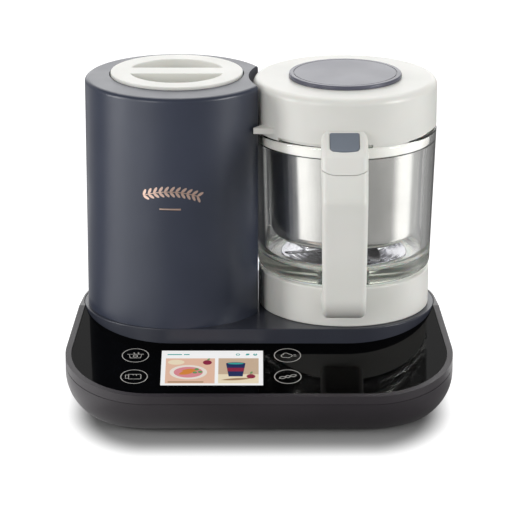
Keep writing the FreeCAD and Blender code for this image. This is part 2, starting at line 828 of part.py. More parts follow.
def build_steam_side():
    nozzle = nozzle_form("steam_nozzle", "nozzle_radius")
    sketch = new_sketch(nozzle, offset="nozzle_height - nozzle_radius - steam_bore")
    draw_circle(sketch, "nozzle_radius")
    pad(nozzle, sketch, "2 * nozzle_radius + steam_bore")
    sketch = new_sketch(nozzle, "YZ_Plane")
    draw_circle(sketch, "steam_bore", "0", "nozzle_height")
    pocket(nozzle, sketch, up=True)
    keep(nozzle)

    boiler = tower_body("boiler")
    revolve(boiler, [("0", "boiler_bottom"), ("boiler_radius", "boiler_bottom", "boiler_wall * 1.5"),
                     ("boiler_radius", "boiler_top", "boiler_wall * 1.5"), ("0", "boiler_top"),
                     ("0", "boiler_top - boiler_wall"),
                     ("boiler_radius - boiler_wall", "boiler_top - boiler_wall"),
                     ("boiler_radius - boiler_wall", "boiler_bottom + boiler_wall"),
                     ("0", "boiler_bottom + boiler_wall")])
    keep(boiler)

    heater = tower_body("heating_ring")
    sketch = new_sketch(heater, "XZ_Plane")
    draw_circle(sketch, "heater_section", "boiler_radius + heater_section", "heater_height")
    made = feature(heater, "Revolution", sketch)
    made.ReferenceAxis = (sketch, ["V_Axis"])
    made.Angle = 360
    keep(heater)

    stand = tower_body("boiler_stand")
    ring(stand, "boiler_radius - 2 * stand_width", "boiler_radius - stand_width", "0", "boiler_bottom")
    keep(stand)

    thermostat = tower_body("thermostat", "thermostat_x", "thermostat_y")
    ring(thermostat, "0", "thermostat_radius", "boiler_top", "boiler_top + thermostat_height")
    keep(thermostat)

    feed = tower_body("feed_tube", "feed_x", "feed_y")
    ring(feed, "feed_bore", "feed_radius", "boiler_top", "tank_bottom")
    keep(feed)

    tube = tower_body("steam_tube")
    turn_body(tube, (0, 0, 1), "-atan(nozzle_y / nozzle_x)")
    far = "sqrt(nozzle_x ^ 2 + nozzle_y ^ 2)"
    top = "nozzle_height - nozzle_radius - steam_bore"
    path = new_sketch(tube, "XZ_Plane")
    corners = [("steam_start", "boiler_top"), ("steam_start", "steam_run_height"),
               (far, "steam_run_height"), (far, top)]
    draw_path(path, corners, "steam_bend")
    section = new_sketch(tube, offset="boiler_top")
    draw_circle(section, "steam_radius", "steam_start")
    draw_circle(section, "steam_bore", "steam_start")
    made = tube.newObject("PartDesign::AdditivePipe", "steam_tube_pipe")
    made.Profile = section
    made.Spine = path
    keep(tube)


def draw_path(sketch, corners, bend):
    """An open run of straight lines with equal bends between them."""
    points = [FreeCAD.Vector(value(x), value(y), 0) for x, y in corners]
    ways = [(b - a).normalize() for a, b in zip(points, points[1:])]
    radius = value(bend)
    lines = []
    for i, way in enumerate(ways):
        start = points[i] + way * (radius if i else 0)
        end = points[i + 1] - way * (radius if i + 1 < len(ways) else 0)
        lines.append(sketch.addGeometry(Part.LineSegment(start, end), False))
    fix_point(sketch, lines[0], 1, *corners[0])
    fix_point(sketch, lines[-1], 2, *corners[-1])
    for i in range(1, len(ways)):
        centre = points[i] + (ways[i] - ways[i - 1]) * radius
        middle = centre - (ways[i] - ways[i - 1]).normalize() * radius
        arc = sketch.addGeometry(
            Part.Arc(points[i] - ways[i - 1] * radius, middle, points[i] + ways[i] * radius), False)
        left_turn = ways[i - 1].cross(ways[i]).z > 0
        first, last = (1, 2) if left_turn else (2, 1)
        sketch.addConstraint(Sketcher.Constraint("Tangent", lines[i - 1], 2, arc, first))
        sketch.addConstraint(Sketcher.Constraint("Tangent", arc, last, lines[i], 1))
        fix_radius(sketch, arc, bend)
        mark = sketch.addGeometry(Part.Point(points[i]), True)
        sketch.addConstraint(Sketcher.Constraint("PointOnObject", mark, 1, lines[i - 1]))
        sketch.addConstraint(Sketcher.Constraint("PointOnObject", mark, 1, lines[i]))
        fix_point(sketch, mark, 1, *corners[i])


def build_tank_lid():
    top = "tower_height + tank_lid_rise"
    bottom = f"{top} - tank_lid_rim"
    floor = f"{top} - tank_lid_recess"
    seat = "tank_plug_radius - tank_wall"
    lid = tower_body("tank_lid", y="tank_y")
    revolve(lid, [("0", f"{floor} - tank_lid_floor"), (seat, f"{floor} - tank_lid_floor"),
                  (seat, bottom), ("tank_lid_radius", bottom), ("tank_lid_radius", top, "cap_round"),
                  ("tank_lid_recess_radius", top, "plinth_edge"),
                  ("tank_lid_recess_radius", floor), ("0", floor)])
    sketch = new_sketch(lid, offset=floor)
    half = "tank_lid_recess_radius + tank_wall"
    draw_rectangle(sketch, f"-({half})", half, "-grip_width / 2", "grip_width / 2")
    pad(lid, sketch, "tank_lid_recess")
    keep(lid)

    seal = tower_body("tank_seal", y="tank_y")
    ring(seal, f"{seat} + shaft_play", "tank_radius - tank_wall - mesh_gap",
         f"{bottom} - tank_seal_height", bottom)
    keep(seal)


# ---------------------------------------------------------------- motor and couplings
def hexagon(sketch, radius):
    """A hexagon with two corners on the x axis."""
    half = f"({radius}) / 2"
    side = f"({radius}) * cos(30)"
    draw_outline(sketch, [(radius, "0"), (half, side), (f"-{half}", side), (f"-({radius})", "0"),
                          (f"-{half}", f"-{side}"), (half, f"-{side}")])


def build_motor():
    roof = "-plinth_plate"
    bottom = "-motor_depth"
    bore = "shaft_radius + shaft_play"
    bush = f"{bore} + bush_wall"
    housing = jug_body("motor_housing")
    revolve(housing, [(bush, bottom), ("motor_radius", bottom, "motor_wall * 1.5"),
                      ("motor_radius", roof), ("motor_radius - motor_wall", roof),
                      ("motor_radius - motor_wall", f"{bottom} + motor_wall"),
                      (bush, f"{bottom} + motor_wall")])
    keep(housing)

    stator = jug_body("motor_stator")
    ring(stator, "stator_inner", "motor_radius - motor_wall", "-stator_bottom", "-stator_top")
    keep(stator)

    bushes = []
    for label, low, high in (("upper", roof, "0"), ("lower", bottom, f"{bottom} + bush_length")):
        one = jug_body(f"motor_bush_{label}")
        ring(one, bore, bush, low, high)
        bushes.append(one)
    keep(group("motor_bushes", bushes))

    rotor = jug_body("motor_rotor")
    ring(rotor, "shaft_radius", "stator_inner - air_gap", "-stator_bottom", "-stator_top")
    keep(rotor)

    shaft = jug_body("motor_shaft")
    ring(shaft, "0", "shaft_radius", bottom, "drive_bottom")
    keep(shaft)

    drive = jug_body("drive_coupler")
    ring(drive, "0", "drive_flange", "drive_bottom", "drive_bottom + drive_flange_thick")
    sketch = new_sketch(drive, offset="drive_bottom")
    hexagon(sketch, "hex_radius")
    pad(drive, sketch, "drive_top - drive_bottom")
    keep(drive)

    driven = jug_body("driven_coupler")
    ring(driven, "0", "driven_radius", "driven_bottom", "driven_top")
    sketch = new_sketch(driven, offset="driven_bottom")
    hexagon(sketch, "hex_radius + mesh_gap")
    pocket(driven, sketch, "drive_top + mesh_gap - driven_bottom", up=True)
    keep(driven)


# ---------------------------------------------------------------- jug
def build_jug():
    base = jug_body("jug_base_ring")
    inner = "ring_radius - ring_wall"
    under = "ring_height - ring_wall"
    revolve(base, [(inner, "0"), ("ring_radius", "0", "ring_edge"),
                   ("ring_radius", "ring_height", "ring_edge"), ("hub_radius", "ring_height"),
                   ("hub_radius", "hub_bottom"), ("hub_radius + ring_wall", "hub_bottom"),
                   ("hub_radius + ring_wall", under), (inner, under)])
    keep(base)

    gasket = jug_body("glass_gasket")
    glass_bottom = "ring_height + gasket_thick"
    ring(gasket, "hub_flange", "glass_foot_radius - glass_foot_edge", "ring_height", glass_bottom)
    keep(gasket)

    floor = f"{glass_bottom} + glass_floor"
    glass = jug_body("glass_jug")
    lip_inner = "glass_top_radius - glass_lip"
    revolve(glass, [("hub_radius", glass_bottom), ("glass_foot_radius", glass_bottom, "glass_foot_edge"),
                    ("glass_top_radius", "glass_top", "glass_edge"),
                    (lip_inner, "glass_top", "glass_edge"), (lip_inner, "glass_ledge", "plinth_edge"),
                    ("glass_ledge_radius", "glass_ledge", "plinth_edge"),
                    ("glass_base_radius", floor, "glass_inner_round"), ("hub_radius", floor)])
    keep(glass)

    bore = "spindle_radius + shaft_play"
    bush = jug_body("blade_bush")
    revolve(bush, [(bore, "hub_bottom"), ("hub_radius", "hub_bottom"), ("hub_radius", floor),
                   ("hub_flange", floor), ("hub_flange", f"{floor} + hub_flange_thick", "ring_edge"),
                   ("hub_dome", f"{floor} + hub_flange_thick"), ("hub_dome - ring_wall", "hub_top"),
                   (bore, "hub_top")])
    keep(bush)

    spindle = jug_body("blade_spindle")
    ring(spindle, "0", "spindle_radius", "driven_top", "blade_hub_bottom")
    keep(spindle)
    build_blades()


def build_blades():
    """Two broad curved wings, cut from a shallow dish by a leaf-shaped prism."""
    dish = jug_body("blade_dish")
    mid = "blade_hub_radius - blade_thick"
    revolve(dish, [(mid, "blade_hub_bottom"), ("blade_low_radius", "blade_low", "3 * spindle_radius"),
                   ("blade_reach", "blade_tip_height - blade_thick"),
                   ("blade_reach", "blade_tip_height"),
                   ("blade_low_radius", "blade_low + blade_thick", "3 * spindle_radius"),
                   (mid, "blade_hub_bottom + blade_thick")])
    leaf = jug_body("blade_leaf")
    sketch = new_sketch(leaf, offset="blade_low - tool_margin")
    width = "blade_width / 2"
    draw_outline(sketch, [("-blade_reach", "0", "spindle_radius"),
                          ("-blade_reach / 2", f"-{width}", "blade_width / 2"), ("0", "-spindle_radius"),
                          ("blade_reach / 2", f"-{width}", "blade_width / 2"),
                          ("blade_reach", "0", "spindle_radius"),
                          ("blade_reach / 2", width, "blade_width / 2"), ("0", "spindle_radius"),
                          ("-blade_reach / 2", width, "blade_width / 2")])
    pad(leaf, sketch, "2 * tool_margin + blade_tip_height - blade_low")
    wings = boolean("Common", "blade_wings_flat", dish, leaf)
    hub = jug_body("blade_hub")
    ring(hub, "0", "blade_hub_radius", "blade_hub_bottom", "blade_hub_top")
    keep(fuse("blade_wings", wings, hub))

    nut = jug_body("blade_nut")
    revolve(nut, [("0", "blade_hub_top"), ("nut_radius", "blade_hub_top"),
                  ("nut_radius", "blade_hub_top + nut_height", "nut_height / 2"),
                  ("0", "blade_hub_top + nut_height")])
    keep(nut)


def handle_body(name, y="0"):
    return new_body(name, "jug_x - handle_shift", f"{AXIS_Y} + {y}", "plinth_top")


def handle_form(name):
    """The handle's whole outer form: side view padded across, sides drawn in, long edges rounded."""
    body = handle_body(name)
    sketch = new_sketch(body, "YZ_Plane")
    draw_outline(sketch, [
        ("-handle_head_back", "handle_head_top"),
        ("-handle_break_y", "handle_break_z", "handle_break_round"),
        ("-handle_face", "handle_shoulder", "handle_shoulder_round"),
        ("-handle_face", "handle_bottom", "handle_bottom_round"),
        ("-handle_head_back + tool_margin / 2", "handle_bottom"),
        ("-handle_head_back + tool_margin / 2", "handle_arm_top"),
        ("-handle_inner", "handle_arm_top", "handle_gap_round"),
        ("-handle_inner", "handle_gap_top", "handle_gap_round"),
        ("-handle_head_back", "handle_head_bottom", "lid_wall")])
    pad(body, sketch, "handle_width", side="Symmetric")
    for sign in ("-", ""):
        sketch = new_sketch(body, "XZ_Plane")
        outside = f"{sign}handle_width"
        draw_outline(sketch, [(f"{sign}(handle_width / 2)", "handle_head_top"),
                              (outside, "handle_head_top"), (outside, "handle_bottom"),
                              (f"{sign}(handle_width / 2 - handle_taper)", "handle_bottom")])
        pocket(body, sketch, side="Symmetric")
    fillet(body, "handle_edge", is_handle_edge)
    return body


def is_handle_edge(edge):
    """An edge between a side of the handle and its sloping top, front face or lower round."""
    middle = edge.valueAt((edge.FirstParameter + edge.LastParameter) / 2)
    drop = value("handle_head_top") - middle.z
    draw = value("handle_taper / (handle_head_top - handle_bottom)")
    on_side = abs(abs(middle.x) - value("handle_width / 2") + drop * draw) < 0.01
    sloping = middle.z > value("handle_head_bottom") and middle.y < value("-handle_head_back") - 0.01
    front = middle.y < value("-handle_inner") - 1
    return on_side and (sloping or front)


def parting_tool(name, shift):
    """Everything above the smile-shaped parting line between grip and head."""
    body = handle_body(name)
    sketch = new_sketch(body, "XZ_Plane", "handle_head_back - tool_margin")
    low = f"parting_height + ({shift})"
    side = "handle_width / 2 + tool_margin"
    rise = f"{low} + parting_rise"
    draw_outline(sketch, [(f"-({side})", rise), ("-handle_width / 4", low, "handle_width / 2"),
                          ("handle_width / 4", low, "handle_width / 2"), (side, rise),
                          (side, "handle_head_top + tool_margin"),
                          (f"-({side})", "handle_head_top + tool_margin")])
    pad(body, sketch, "3 * tool_margin")
    return body


def button_form(name, grow, bottom, top_shift):
    """The button's upright form, cut off by a plane parallel to the head's slope."""
    body = handle_body(name)
    side, front, back = f"(button_width / 2 + {grow})", f"-button_front - {grow}", f"-button_back + {grow}"
    corner = f"{front} + button_bow"
    sketch = new_sketch(body, offset=bottom)
    draw_outline(sketch, [("0", front, "2 * button_width"), (side, corner, "button_round"),
                          (side, back, "ring_edge"), (f"-{side}", back, "ring_edge"),
                          (f"-{side}", corner, "button_round")])
    pad(body, sketch, "handle_head_top + tool_margin - button_bottom")
    if top_shift is None:
        return body
    slope = "(handle_head_top - handle_break_z) / (handle_break_y - handle_head_back)"
    near, far = "(handle_head_back - tool_margin)", "(handle_break_y + tool_margin)"
    line = [(f"-{y}", f"handle_head_top - ({y} - handle_head_back) * {slope} + {top_shift}")
            for y in (far, near)]
    sketch = new_sketch(body, "YZ_Plane")
    roof = "handle_head_top + 3 * tool_margin"
    draw_outline(sketch, line + [(f"-{near}", roof), (f"-{far}", roof)])
    pocket(body, sketch, side="Symmetric")
    return body


def build_handle():
    form = handle_form("handle_form")
    ring_tool = jug_body("handle_ring_tool")
    ring(ring_tool, "0", "ring_radius", "-tool_margin", "handle_gap_top")
    above = parting_tool("grip_parting", "-parting_gap")
    keep(cut("handle_grip", form, ring_tool, above))

    upper_form = handle_form("handle_upper_form")
    above = parting_tool("head_parting", "0")
    upper = boolean("Common", "handle_upper", upper_form, above)
    well = button_form("button_well", "button_gap", "button_bottom - button_travel - button_gap", None)
    spring_well = handle_body("spring_well")
    sketch = new_sketch(spring_well, offset="spring_bottom")
    draw_circle(sketch, "spring_radius + spring_wire + button_gap", "0", SPRING_Y)
    pad(spring_well, sketch, "button_bottom - spring_bottom")
    keep(cut("handle_head", upper, well, spring_well))

    keep(button_form("lid_button", "0", "button_bottom", "button_proud"))

    spring = handle_body("button_spring", SPRING_Y)
    sketch = new_sketch(spring, "XZ_Plane")
    draw_circle(sketch, "spring_wire", "spring_radius", "spring_bottom + spring_wire")
    coil = spring.newObject("PartDesign::AdditiveHelix", "button_spring_coil")
    coil.Profile = sketch
    coil.ReferenceAxis = (sketch, ["V_Axis"])
    coil.Mode = 0
    bind(coil, "Pitch", "spring_pitch")
    bind(coil, "Height", "button_bottom - spring_bottom - 2 * spring_wire - shaft_play")
    keep(spring)


# ---------------------------------------------------------------- basket and lid
def build_basket():
    wall = "basket_wall"
    bowl = jug_body("steam_basket")
    revolve(bowl, [("0", "basket_bottom"), ("basket_radius", "basket_bottom", "basket_round"),
                   ("basket_top_radius", "basket_top"), (f"basket_top_radius - {wall}", "basket_top"),
                   (f"basket_radius - {wall}", f"basket_bottom + {wall}", f"basket_round - {wall}"),
                   ("0", f"basket_bottom + {wall}")])
    for radius in ("hole_ring_1", "hole_ring_2", "hole_ring_3", "hole_ring_4"):
        sketch = new_sketch(bowl, offset=f"basket_bottom + 2 * {wall}")
        draw_circle(sketch, "basket_hole", radius)
        hole = pocket(bowl, sketch, f"3 * {wall}")
        circular_copies(bowl, hole, int(value(f"2 * pi * {radius} / hole_pitch")))
    keep(bowl)

    band = jug_body("basket_band")
    inside = "basket_top_radius + shaft_play"
    revolve(band, [(inside, BAND_BOTTOM), ("band_radius", BAND_BOTTOM),
                   ("band_radius", "band_top", "plinth_edge"),
                   ("basket_top_radius - band_lip", "band_top", "plinth_edge"),
                   ("basket_top_radius - band_lip", "basket_top"), (inside, "basket_top")])
    keep(band)


def lid_tab(side):
    """Part of a ring that hangs from the lid's lower edge."""
    body = jug_body(f"lid_tab_{side}")
    turn_body(body, (0, 0, 1), f"tab_{side}_start")
    inner, low = "lid_radius - lid_tab_width", "lid_bottom - lid_tab_drop"
    revolve(body, [(inner, low), ("lid_radius", low), ("lid_radius", "lid_bottom"),
                   (inner, "lid_bottom")], f"tab_{side}_sweep")
    return body


def build_lid():
    shell = jug_body("lid_shell")
    inside = "lid_radius - lid_wall"
    ceiling = "lid_top - lid_wall"
    well = "lid_well_radius + lid_wall"
    revolve(shell, [(inside, "lid_bottom"), ("lid_radius", "lid_bottom"),
                    ("lid_radius", "lid_top", "lid_round"), ("lid_well_radius", "lid_top"),
                    ("lid_well_radius", "lid_top - lid_well_depth"),
                    ("0", "lid_top - lid_well_depth"),
                    ("0", "lid_top - lid_well_depth - lid_wall"),
                    (well, "lid_top - lid_well_depth - lid_wall"),
                    (well, ceiling), (inside, ceiling, "lid_wall")])
    solid = fuse("lid_with_tabs", shell, lid_tab("left"), lid_tab("right"))
    inlet = nozzle_form("lid_inlet", "nozzle_radius", "tool_margin")
    keep(cut("jug_lid", solid, inlet))

    beak = jug_body("spout_beak")
    sketch = new_sketch(beak, offset="lid_bottom + spout_rise")
    near = "(lid_radius - lid_tab_width / 2)"
    draw_outline(sketch, [
        (f"{near} * cos(spout_angle + spout_left)", f"{near} * sin(spout_angle + spout_left)"),
        ("spout_reach * cos(spout_angle)", "spout_reach * sin(spout_angle)", "cap_round"),
        (f"{near} * cos(spout_angle - spout_right)", f"{near} * sin(spout_angle - spout_right)")])
    pad(beak, sketch, "spout_height")
    lid_tool = jug_body("spout_lid_tool")
    ring(lid_tool, "0", "lid_radius", "lid_bottom", "lid_top")
    keep(cut("lid_spout", beak, lid_tool))

    seal = jug_body("lid_seal")
    outer = "lid_radius - lid_wall - shaft_play - cap_gap"
    ring(seal, f"{outer} - seal_width", outer, "band_top", "band_top + seal_thick")
    keep(seal)

    cap = jug_body("lid_cap")
    under = "lid_top + cap_gap"
    top = "lid_top + cap_height"
    revolve(cap, [("0", under), ("cap_radius", under), ("cap_radius", top, "cap_round"),
                  ("cap_groove_radius + cap_groove", top),
                  ("cap_groove_radius + cap_groove", f"{top} - cap_groove"),
                  ("cap_groove_radius", f"{top} - cap_groove"), ("cap_groove_radius", top), ("0", top)])
    keep(cap)

    plug = jug_body("cap_plug")
    ring(plug, "cap_plug_radius - 2 * lid_wall", "cap_plug_radius", f"{under} - cap_plug_depth", under)
    keep(plug)


# ---------------------------------------------------------------- build, check and write
for build in (build_tub, build_base_trim, build_display, build_plinth, build_fasteners, build_power,
              build_tower, build_steam_side, build_tank_lid, build_motor, build_jug, build_handle,
              build_basket, build_lid):
    build()
doc.recompute()

for thing in doc.Objects:
    if "Invalid" in thing.State or "Error" in thing.State:
        raise RuntimeError(f"{thing.Label} failed: {thing.State}")

os.makedirs("parts", exist_ok=True)
for piece in PIECES:
    shape = piece.Shape
    if shape.isNull() or not shape.isValid() or not shape.Solids:
        raise RuntimeError(f"{piece.Label} has no valid solid")
    shape.exportStep(os.path.join("parts", piece.Label + ".step"))
    box = shape.optimalBoundingBox(False, False)
    print(f"{piece.Label:18s} solids {len(shape.Solids)}  volume {shape.Volume:10.1f}  "
          f"x {box.XMin:7.1f} {box.XMax:7.1f}  y {box.YMin:7.1f} {box.YMax:7.1f}  "
          f"z {box.ZMin:6.1f} {box.ZMax:6.1f}")
print(len(PIECES), "sub-parts")
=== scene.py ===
# %% [markdown]
# # Dressing a baby food maker
# The CAD frame already holds every piece at its real size and place.  This lesson gives those
# pieces their finishes, adds the fine parts that plain solids lack, and sets up floor, light
# and camera.  All lengths are metres, and small ones are written as millimetres times MM.

# %% Load the frame
import math
import bmesh
import bpy
from mathutils import Matrix, Vector


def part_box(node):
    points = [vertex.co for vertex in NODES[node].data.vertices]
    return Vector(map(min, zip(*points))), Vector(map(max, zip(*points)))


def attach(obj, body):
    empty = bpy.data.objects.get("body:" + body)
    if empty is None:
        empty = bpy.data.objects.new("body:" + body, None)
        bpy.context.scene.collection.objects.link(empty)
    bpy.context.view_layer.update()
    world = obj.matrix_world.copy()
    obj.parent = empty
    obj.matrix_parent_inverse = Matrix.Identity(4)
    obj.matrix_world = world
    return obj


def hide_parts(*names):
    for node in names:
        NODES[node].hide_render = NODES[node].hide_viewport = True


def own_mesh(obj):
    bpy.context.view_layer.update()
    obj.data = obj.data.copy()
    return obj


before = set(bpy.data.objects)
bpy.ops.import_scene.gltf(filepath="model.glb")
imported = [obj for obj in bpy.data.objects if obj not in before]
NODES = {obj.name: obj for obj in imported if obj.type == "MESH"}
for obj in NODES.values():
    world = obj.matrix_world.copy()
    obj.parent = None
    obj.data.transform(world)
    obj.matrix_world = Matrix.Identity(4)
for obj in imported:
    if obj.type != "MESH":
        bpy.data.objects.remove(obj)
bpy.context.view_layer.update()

MM = 0.001


# %% Where a piece is
def corners(node):
    """A node's lowest and highest corners at rest."""
    return [Vector(corner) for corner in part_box(node)]


def axis_point(node, height=0.0):
    """The point at a height on the upright line through a node's middle."""
    low, high = corners(node)
    return Vector(((low.x + high.x) / 2, (low.y + high.y) / 2, height))


print("jug axis:", tuple(round(v, 4) for v in axis_point("glass_jug")))

# %% [markdown]
# ## Helpers for materials
# A colour is written as the hex value a painter would pick on screen, and one function turns it
# into the linear numbers that the shader adds up.  One more function adds a node with its
# settings and its links, so a material reads as a short recipe.

# %% Colour
def linear(hex_colour, alpha=1.0):
    """sRGB hex to the linear RGBA that a socket takes."""
    channels = [int(hex_colour[i:i + 2], 16) / 255 for i in (1, 3, 5)]
    return [c / 12.92 if c <= 0.04045 else ((c + 0.055) / 1.055) ** 2.4
            for c in channels] + [alpha]


# %% One node with its settings and links
def add(tree, kind, settings=None, links=None):
    """Make a node.  A setting's key is an input's name or number, or a property's name; a link
    is input: output socket."""
    node = tree.nodes.new(kind)
    for name, setting in (settings or {}).items():
        if isinstance(name, int) or name in node.inputs:
            node.inputs[name].default_value = setting
        else:
            setattr(node, name, setting)
    for name, source in (links or {}).items():
        tree.links.new(source, node.inputs[name])
    return node


# %% A material with its shader, ready for patterns
def start_material(name, colour, roughness, **extra):
    material = bpy.data.materials.new(name)
    material.use_nodes = True
    tree = material.node_tree
    tree.nodes.clear()
    shader = add(tree, "ShaderNodeBsdfPrincipled",
                 {"Base Color": linear(colour), "Roughness": roughness})
    for socket, setting in extra.items():
        shader.inputs[socket.replace("_", " ")].default_value = setting
    add(tree, "ShaderNodeOutputMaterial", links={"Surface": shader.outputs[0]})
    return material, tree, shader


# %% [markdown]
# Three patterns serve nearly every finish here.  **Grain** is the fine pitting that a mould's
# spark-eroded wall leaves, felt more than seen.  **Mottle** is a slow drift of colour, as no
# moulding is evenly coloured.  **Wear** is a drift of gloss, from wiping and handling.  Each has
# its scale in real millimetres and reads Object coordinates, so nothing slides.

# %% Object coordinates, stretched where a pattern has a direction
def coordinates(tree, stretch=(1, 1, 1)):
    where = add(tree, "ShaderNodeTexCoord")
    return add(tree, "ShaderNodeMapping", {"Scale": stretch},
               {"Vector": where.outputs["Object"]}).outputs[0]


def noise(tree, size_mm, detail=2.0, stretch=(1, 1, 1)):
    """Noise whose lumps are about size_mm across."""
    return add(tree, "ShaderNodeTexNoise", {"Scale": 1 / (size_mm * MM), "Detail": detail},
               {"Vector": coordinates(tree, stretch)}).outputs[0]


# %% Grain, mottle and wear
# Noise hardly ever leaves this range, so a drift is spread over it.
NOISE_LOW, NOISE_HIGH = 0.3, 0.7


def grain(tree, shader, size_mm, depth_mm, detail=2.0, stretch=(1, 1, 1)):
    """Bump from fine noise."""
    bump = add(tree, "ShaderNodeBump", {"Strength": 1.0, "Distance": depth_mm * MM},
               {"Height": noise(tree, size_mm, detail, stretch)})
    tree.links.new(bump.outputs[0], shader.inputs["Normal"])


def mottle(tree, shader, size_mm, darker, lighter):
    """Slow drift between two close shades."""
    ramp = add(tree, "ShaderNodeValToRGB", links={"Fac": noise(tree, size_mm, 3.0)})
    ends = zip(ramp.color_ramp.elements, (NOISE_LOW, NOISE_HIGH), (darker, lighter))
    for end, position, colour in ends:
        end.position, end.color = position, linear(colour)
    tree.links.new(ramp.outputs[0], shader.inputs["Base Color"])


def wear(tree, shader, size_mm, smooth, rough):
    """Slow drift of gloss."""
    spread = add(tree, "ShaderNodeMapRange", {"From Min": NOISE_LOW, "From Max": NOISE_HIGH,
                                              "To Min": smooth, "To Max": rough},
                 {"Value": noise(tree, size_mm, 4.0)})
    tree.links.new(spread.outputs[0], shader.inputs["Roughness"])


# %% [markdown]
# ## Plastics
# Most of the machine is injection-moulded.  The tower is ABS with a soft satin mould finish in
# slate navy; the base is the same plastic in warm charcoal; jug ring, handle and lids are
# polypropylene, which is whiter, a little waxy and shinier on its rounded edges.  One recipe
# makes them all, because only colour, gloss and grain differ.

# %% Moulded plastic
def moulded(name, darker, lighter, gloss, grain_mm=0.9, depth_mm=0.004, **extra):
    material, tree, shader = start_material(name, lighter, sum(gloss) / 2, **extra)
    mottle(tree, shader, 60, darker, lighter)
    wear(tree, shader, 35, *gloss)
    grain(tree, shader, grain_mm, depth_mm)
    return material


# The real spark-eroded grain is about 0.1 mm, drawn coarser so that it shows at all.
slate_abs = moulded("ABS_slate_satin", "#2D3240", "#343948", (0.29, 0.36), 0.7, 0.006)
plinth_abs = moulded("ABS_slate_plinth", "#2B2D37", "#31343E", (0.30, 0.38), 0.7, 0.005)
charcoal_abs = moulded("ABS_charcoal_satin", "#2C282C", "#343034", (0.33, 0.42), 0.8, 0.006)
white_pp = moulded("polypropylene_white", "#DCDCD6", "#E4E3DE", (0.30, 0.38), 1.2, 0.004,
                   Subsurface_Weight=0.05, Subsurface_Scale=0.002)
grey_abs = moulded("ABS_grey_cap", "#4E4F5B", "#565766", (0.26, 0.34), 0.8, 0.003)
button_abs = moulded("ABS_grey_button", "#69717C", "#737B86", (0.28, 0.36), 0.8, 0.003)
collar_abs = moulded("ABS_dark_collar", "#2A2C33", "#30323A", (0.35, 0.45), 0.8, 0.004)
drive_pom = moulded("acetal_black_drive", "#17171A", "#1E1E22", (0.35, 0.45), 0.6, 0.004)
print("materials with the plastics:", len(bpy.data.materials))

# %% [markdown]
# ## Glossy panel
# The touch panel is black-backed tempered glass.  Almost all its look is what it mirrors: the
# tower, the jug's ring and the bright room behind.  Its surface is flat, and the only patterns
# are a faint film of wiping marks, which lets its roughness drift a little, and a hardly
# visible drift of its black.

# %% Touch panel
def build_panel_glass():
    # The low IOR stands for the matt-black coat behind the glass and its anti-glare face.
    material, tree, shader = start_material("tempered_glass_black", "#030303", 0.04, IOR=1.19)
    wear(tree, shader, 28, 0.02, 0.06)
    mottle(tree, shader, 90, "#020202", "#050505")
    return material


panel_glass = build_panel_glass()
print("panel:", panel_glass.name)

# %% [markdown]
# ## Glass
# The jug is pressed borosilicate: clear, IOR 1.47, its thick rim and floor slightly green where
# one looks along the wall.  A little absorption inside the solid gives that tint by itself,
# because light that travels further through the wall loses more red and blue.  The tank is
# moulded SAN, a clear plastic that is a shade softer and duller than glass.

# %% Borosilicate glass and clear plastic
def build_jug_glass():
    material, tree, shader = start_material("borosilicate_glass", "#FFFFFF", 0.0, IOR=1.47,
                                            Transmission_Weight=1.0)
    wear(tree, shader, 40, 0.0, 0.015)
    # Pressed glass is never quite flat: long soft waves, 12 mm from crest to crest.
    grain(tree, shader, 12.0, 0.010, detail=1.0, stretch=(1, 1, 0.4))
    tint = add(tree, "ShaderNodeVolumeAbsorption", {"Color": linear("#BCC1A8"), "Density": 8.0})
    output = next(n for n in tree.nodes if n.type == "OUTPUT_MATERIAL")
    tree.links.new(tint.outputs[0], output.inputs["Volume"])
    return material


def build_clear_plastic():
    material, tree, shader = start_material("SAN_clear_tank", "#E4EAEC", 0.12, IOR=1.57,
                                            Transmission_Weight=0.85)
    wear(tree, shader, 30, 0.08, 0.2)
    grain(tree, shader, 6.0, 0.01, detail=1.0)
    return material


jug_glass = build_jug_glass()
clear_san = build_clear_plastic()
print("clear walls:", jug_glass.name, "and", clear_san.name)

# %% [markdown]
# ## Metals
# The basket is deep-drawn stainless steel, polished while it spins, so its finest scratches run
# round it.  Such scratches smear reflections up and down but keep them sharp from side to side,
# which is why a polished pot shows clear upright bands.  The noise is therefore drawn out
# sideways and stays fine in height.  Blades are stamped and satin brushed; the boiler is cast
# alloy.  Real scratches are hundredths of a millimetre apart, drawn coarser so that they show.

# %% Turned, brushed and cast metal
def metal(name, darker, lighter, gloss, scratch_mm, depth_mm, stretch=(1, 1, 1)):
    material, tree, shader = start_material(name, lighter, sum(gloss) / 2, Metallic=1.0)
    mottle(tree, shader, 45, darker, lighter)
    wear(tree, shader, 20, *gloss)
    grain(tree, shader, scratch_mm, depth_mm, 2.0, stretch)
    return material


ROUND_SCRATCHES = (0.04, 0.04, 1.0)      # lines that run round an upright axis
LONG_SCRATCHES = (1.0, 0.12, 1.0)        # lines that run from front to back
SHEET_LINES = (0.02, 0.02, 1.0)          # edges of a stack of thin sheets
steel = metal("stainless_steel_turned", "#DAD9D6", "#E6E5E2", (0.16, 0.22), 1.1, 0.0012,
              ROUND_SCRATCHES)
blade_steel = metal("stainless_steel_brushed", "#DADADD", "#E8E8EB", (0.12, 0.2), 1.6, 0.004,
                    LONG_SCRATCHES)
# Ground bar has a thin bright highlight along it, a die casting a dull and faintly pebbled skin.
bright_steel = metal("steel_ground_bar", "#A9ABAE", "#BFC1C4", (0.15, 0.25), 0.8, 0.002)
cast_alloy = metal("aluminium_die_cast", "#9C9EA2", "#B0B2B6", (0.38, 0.5), 1.2, 0.02)
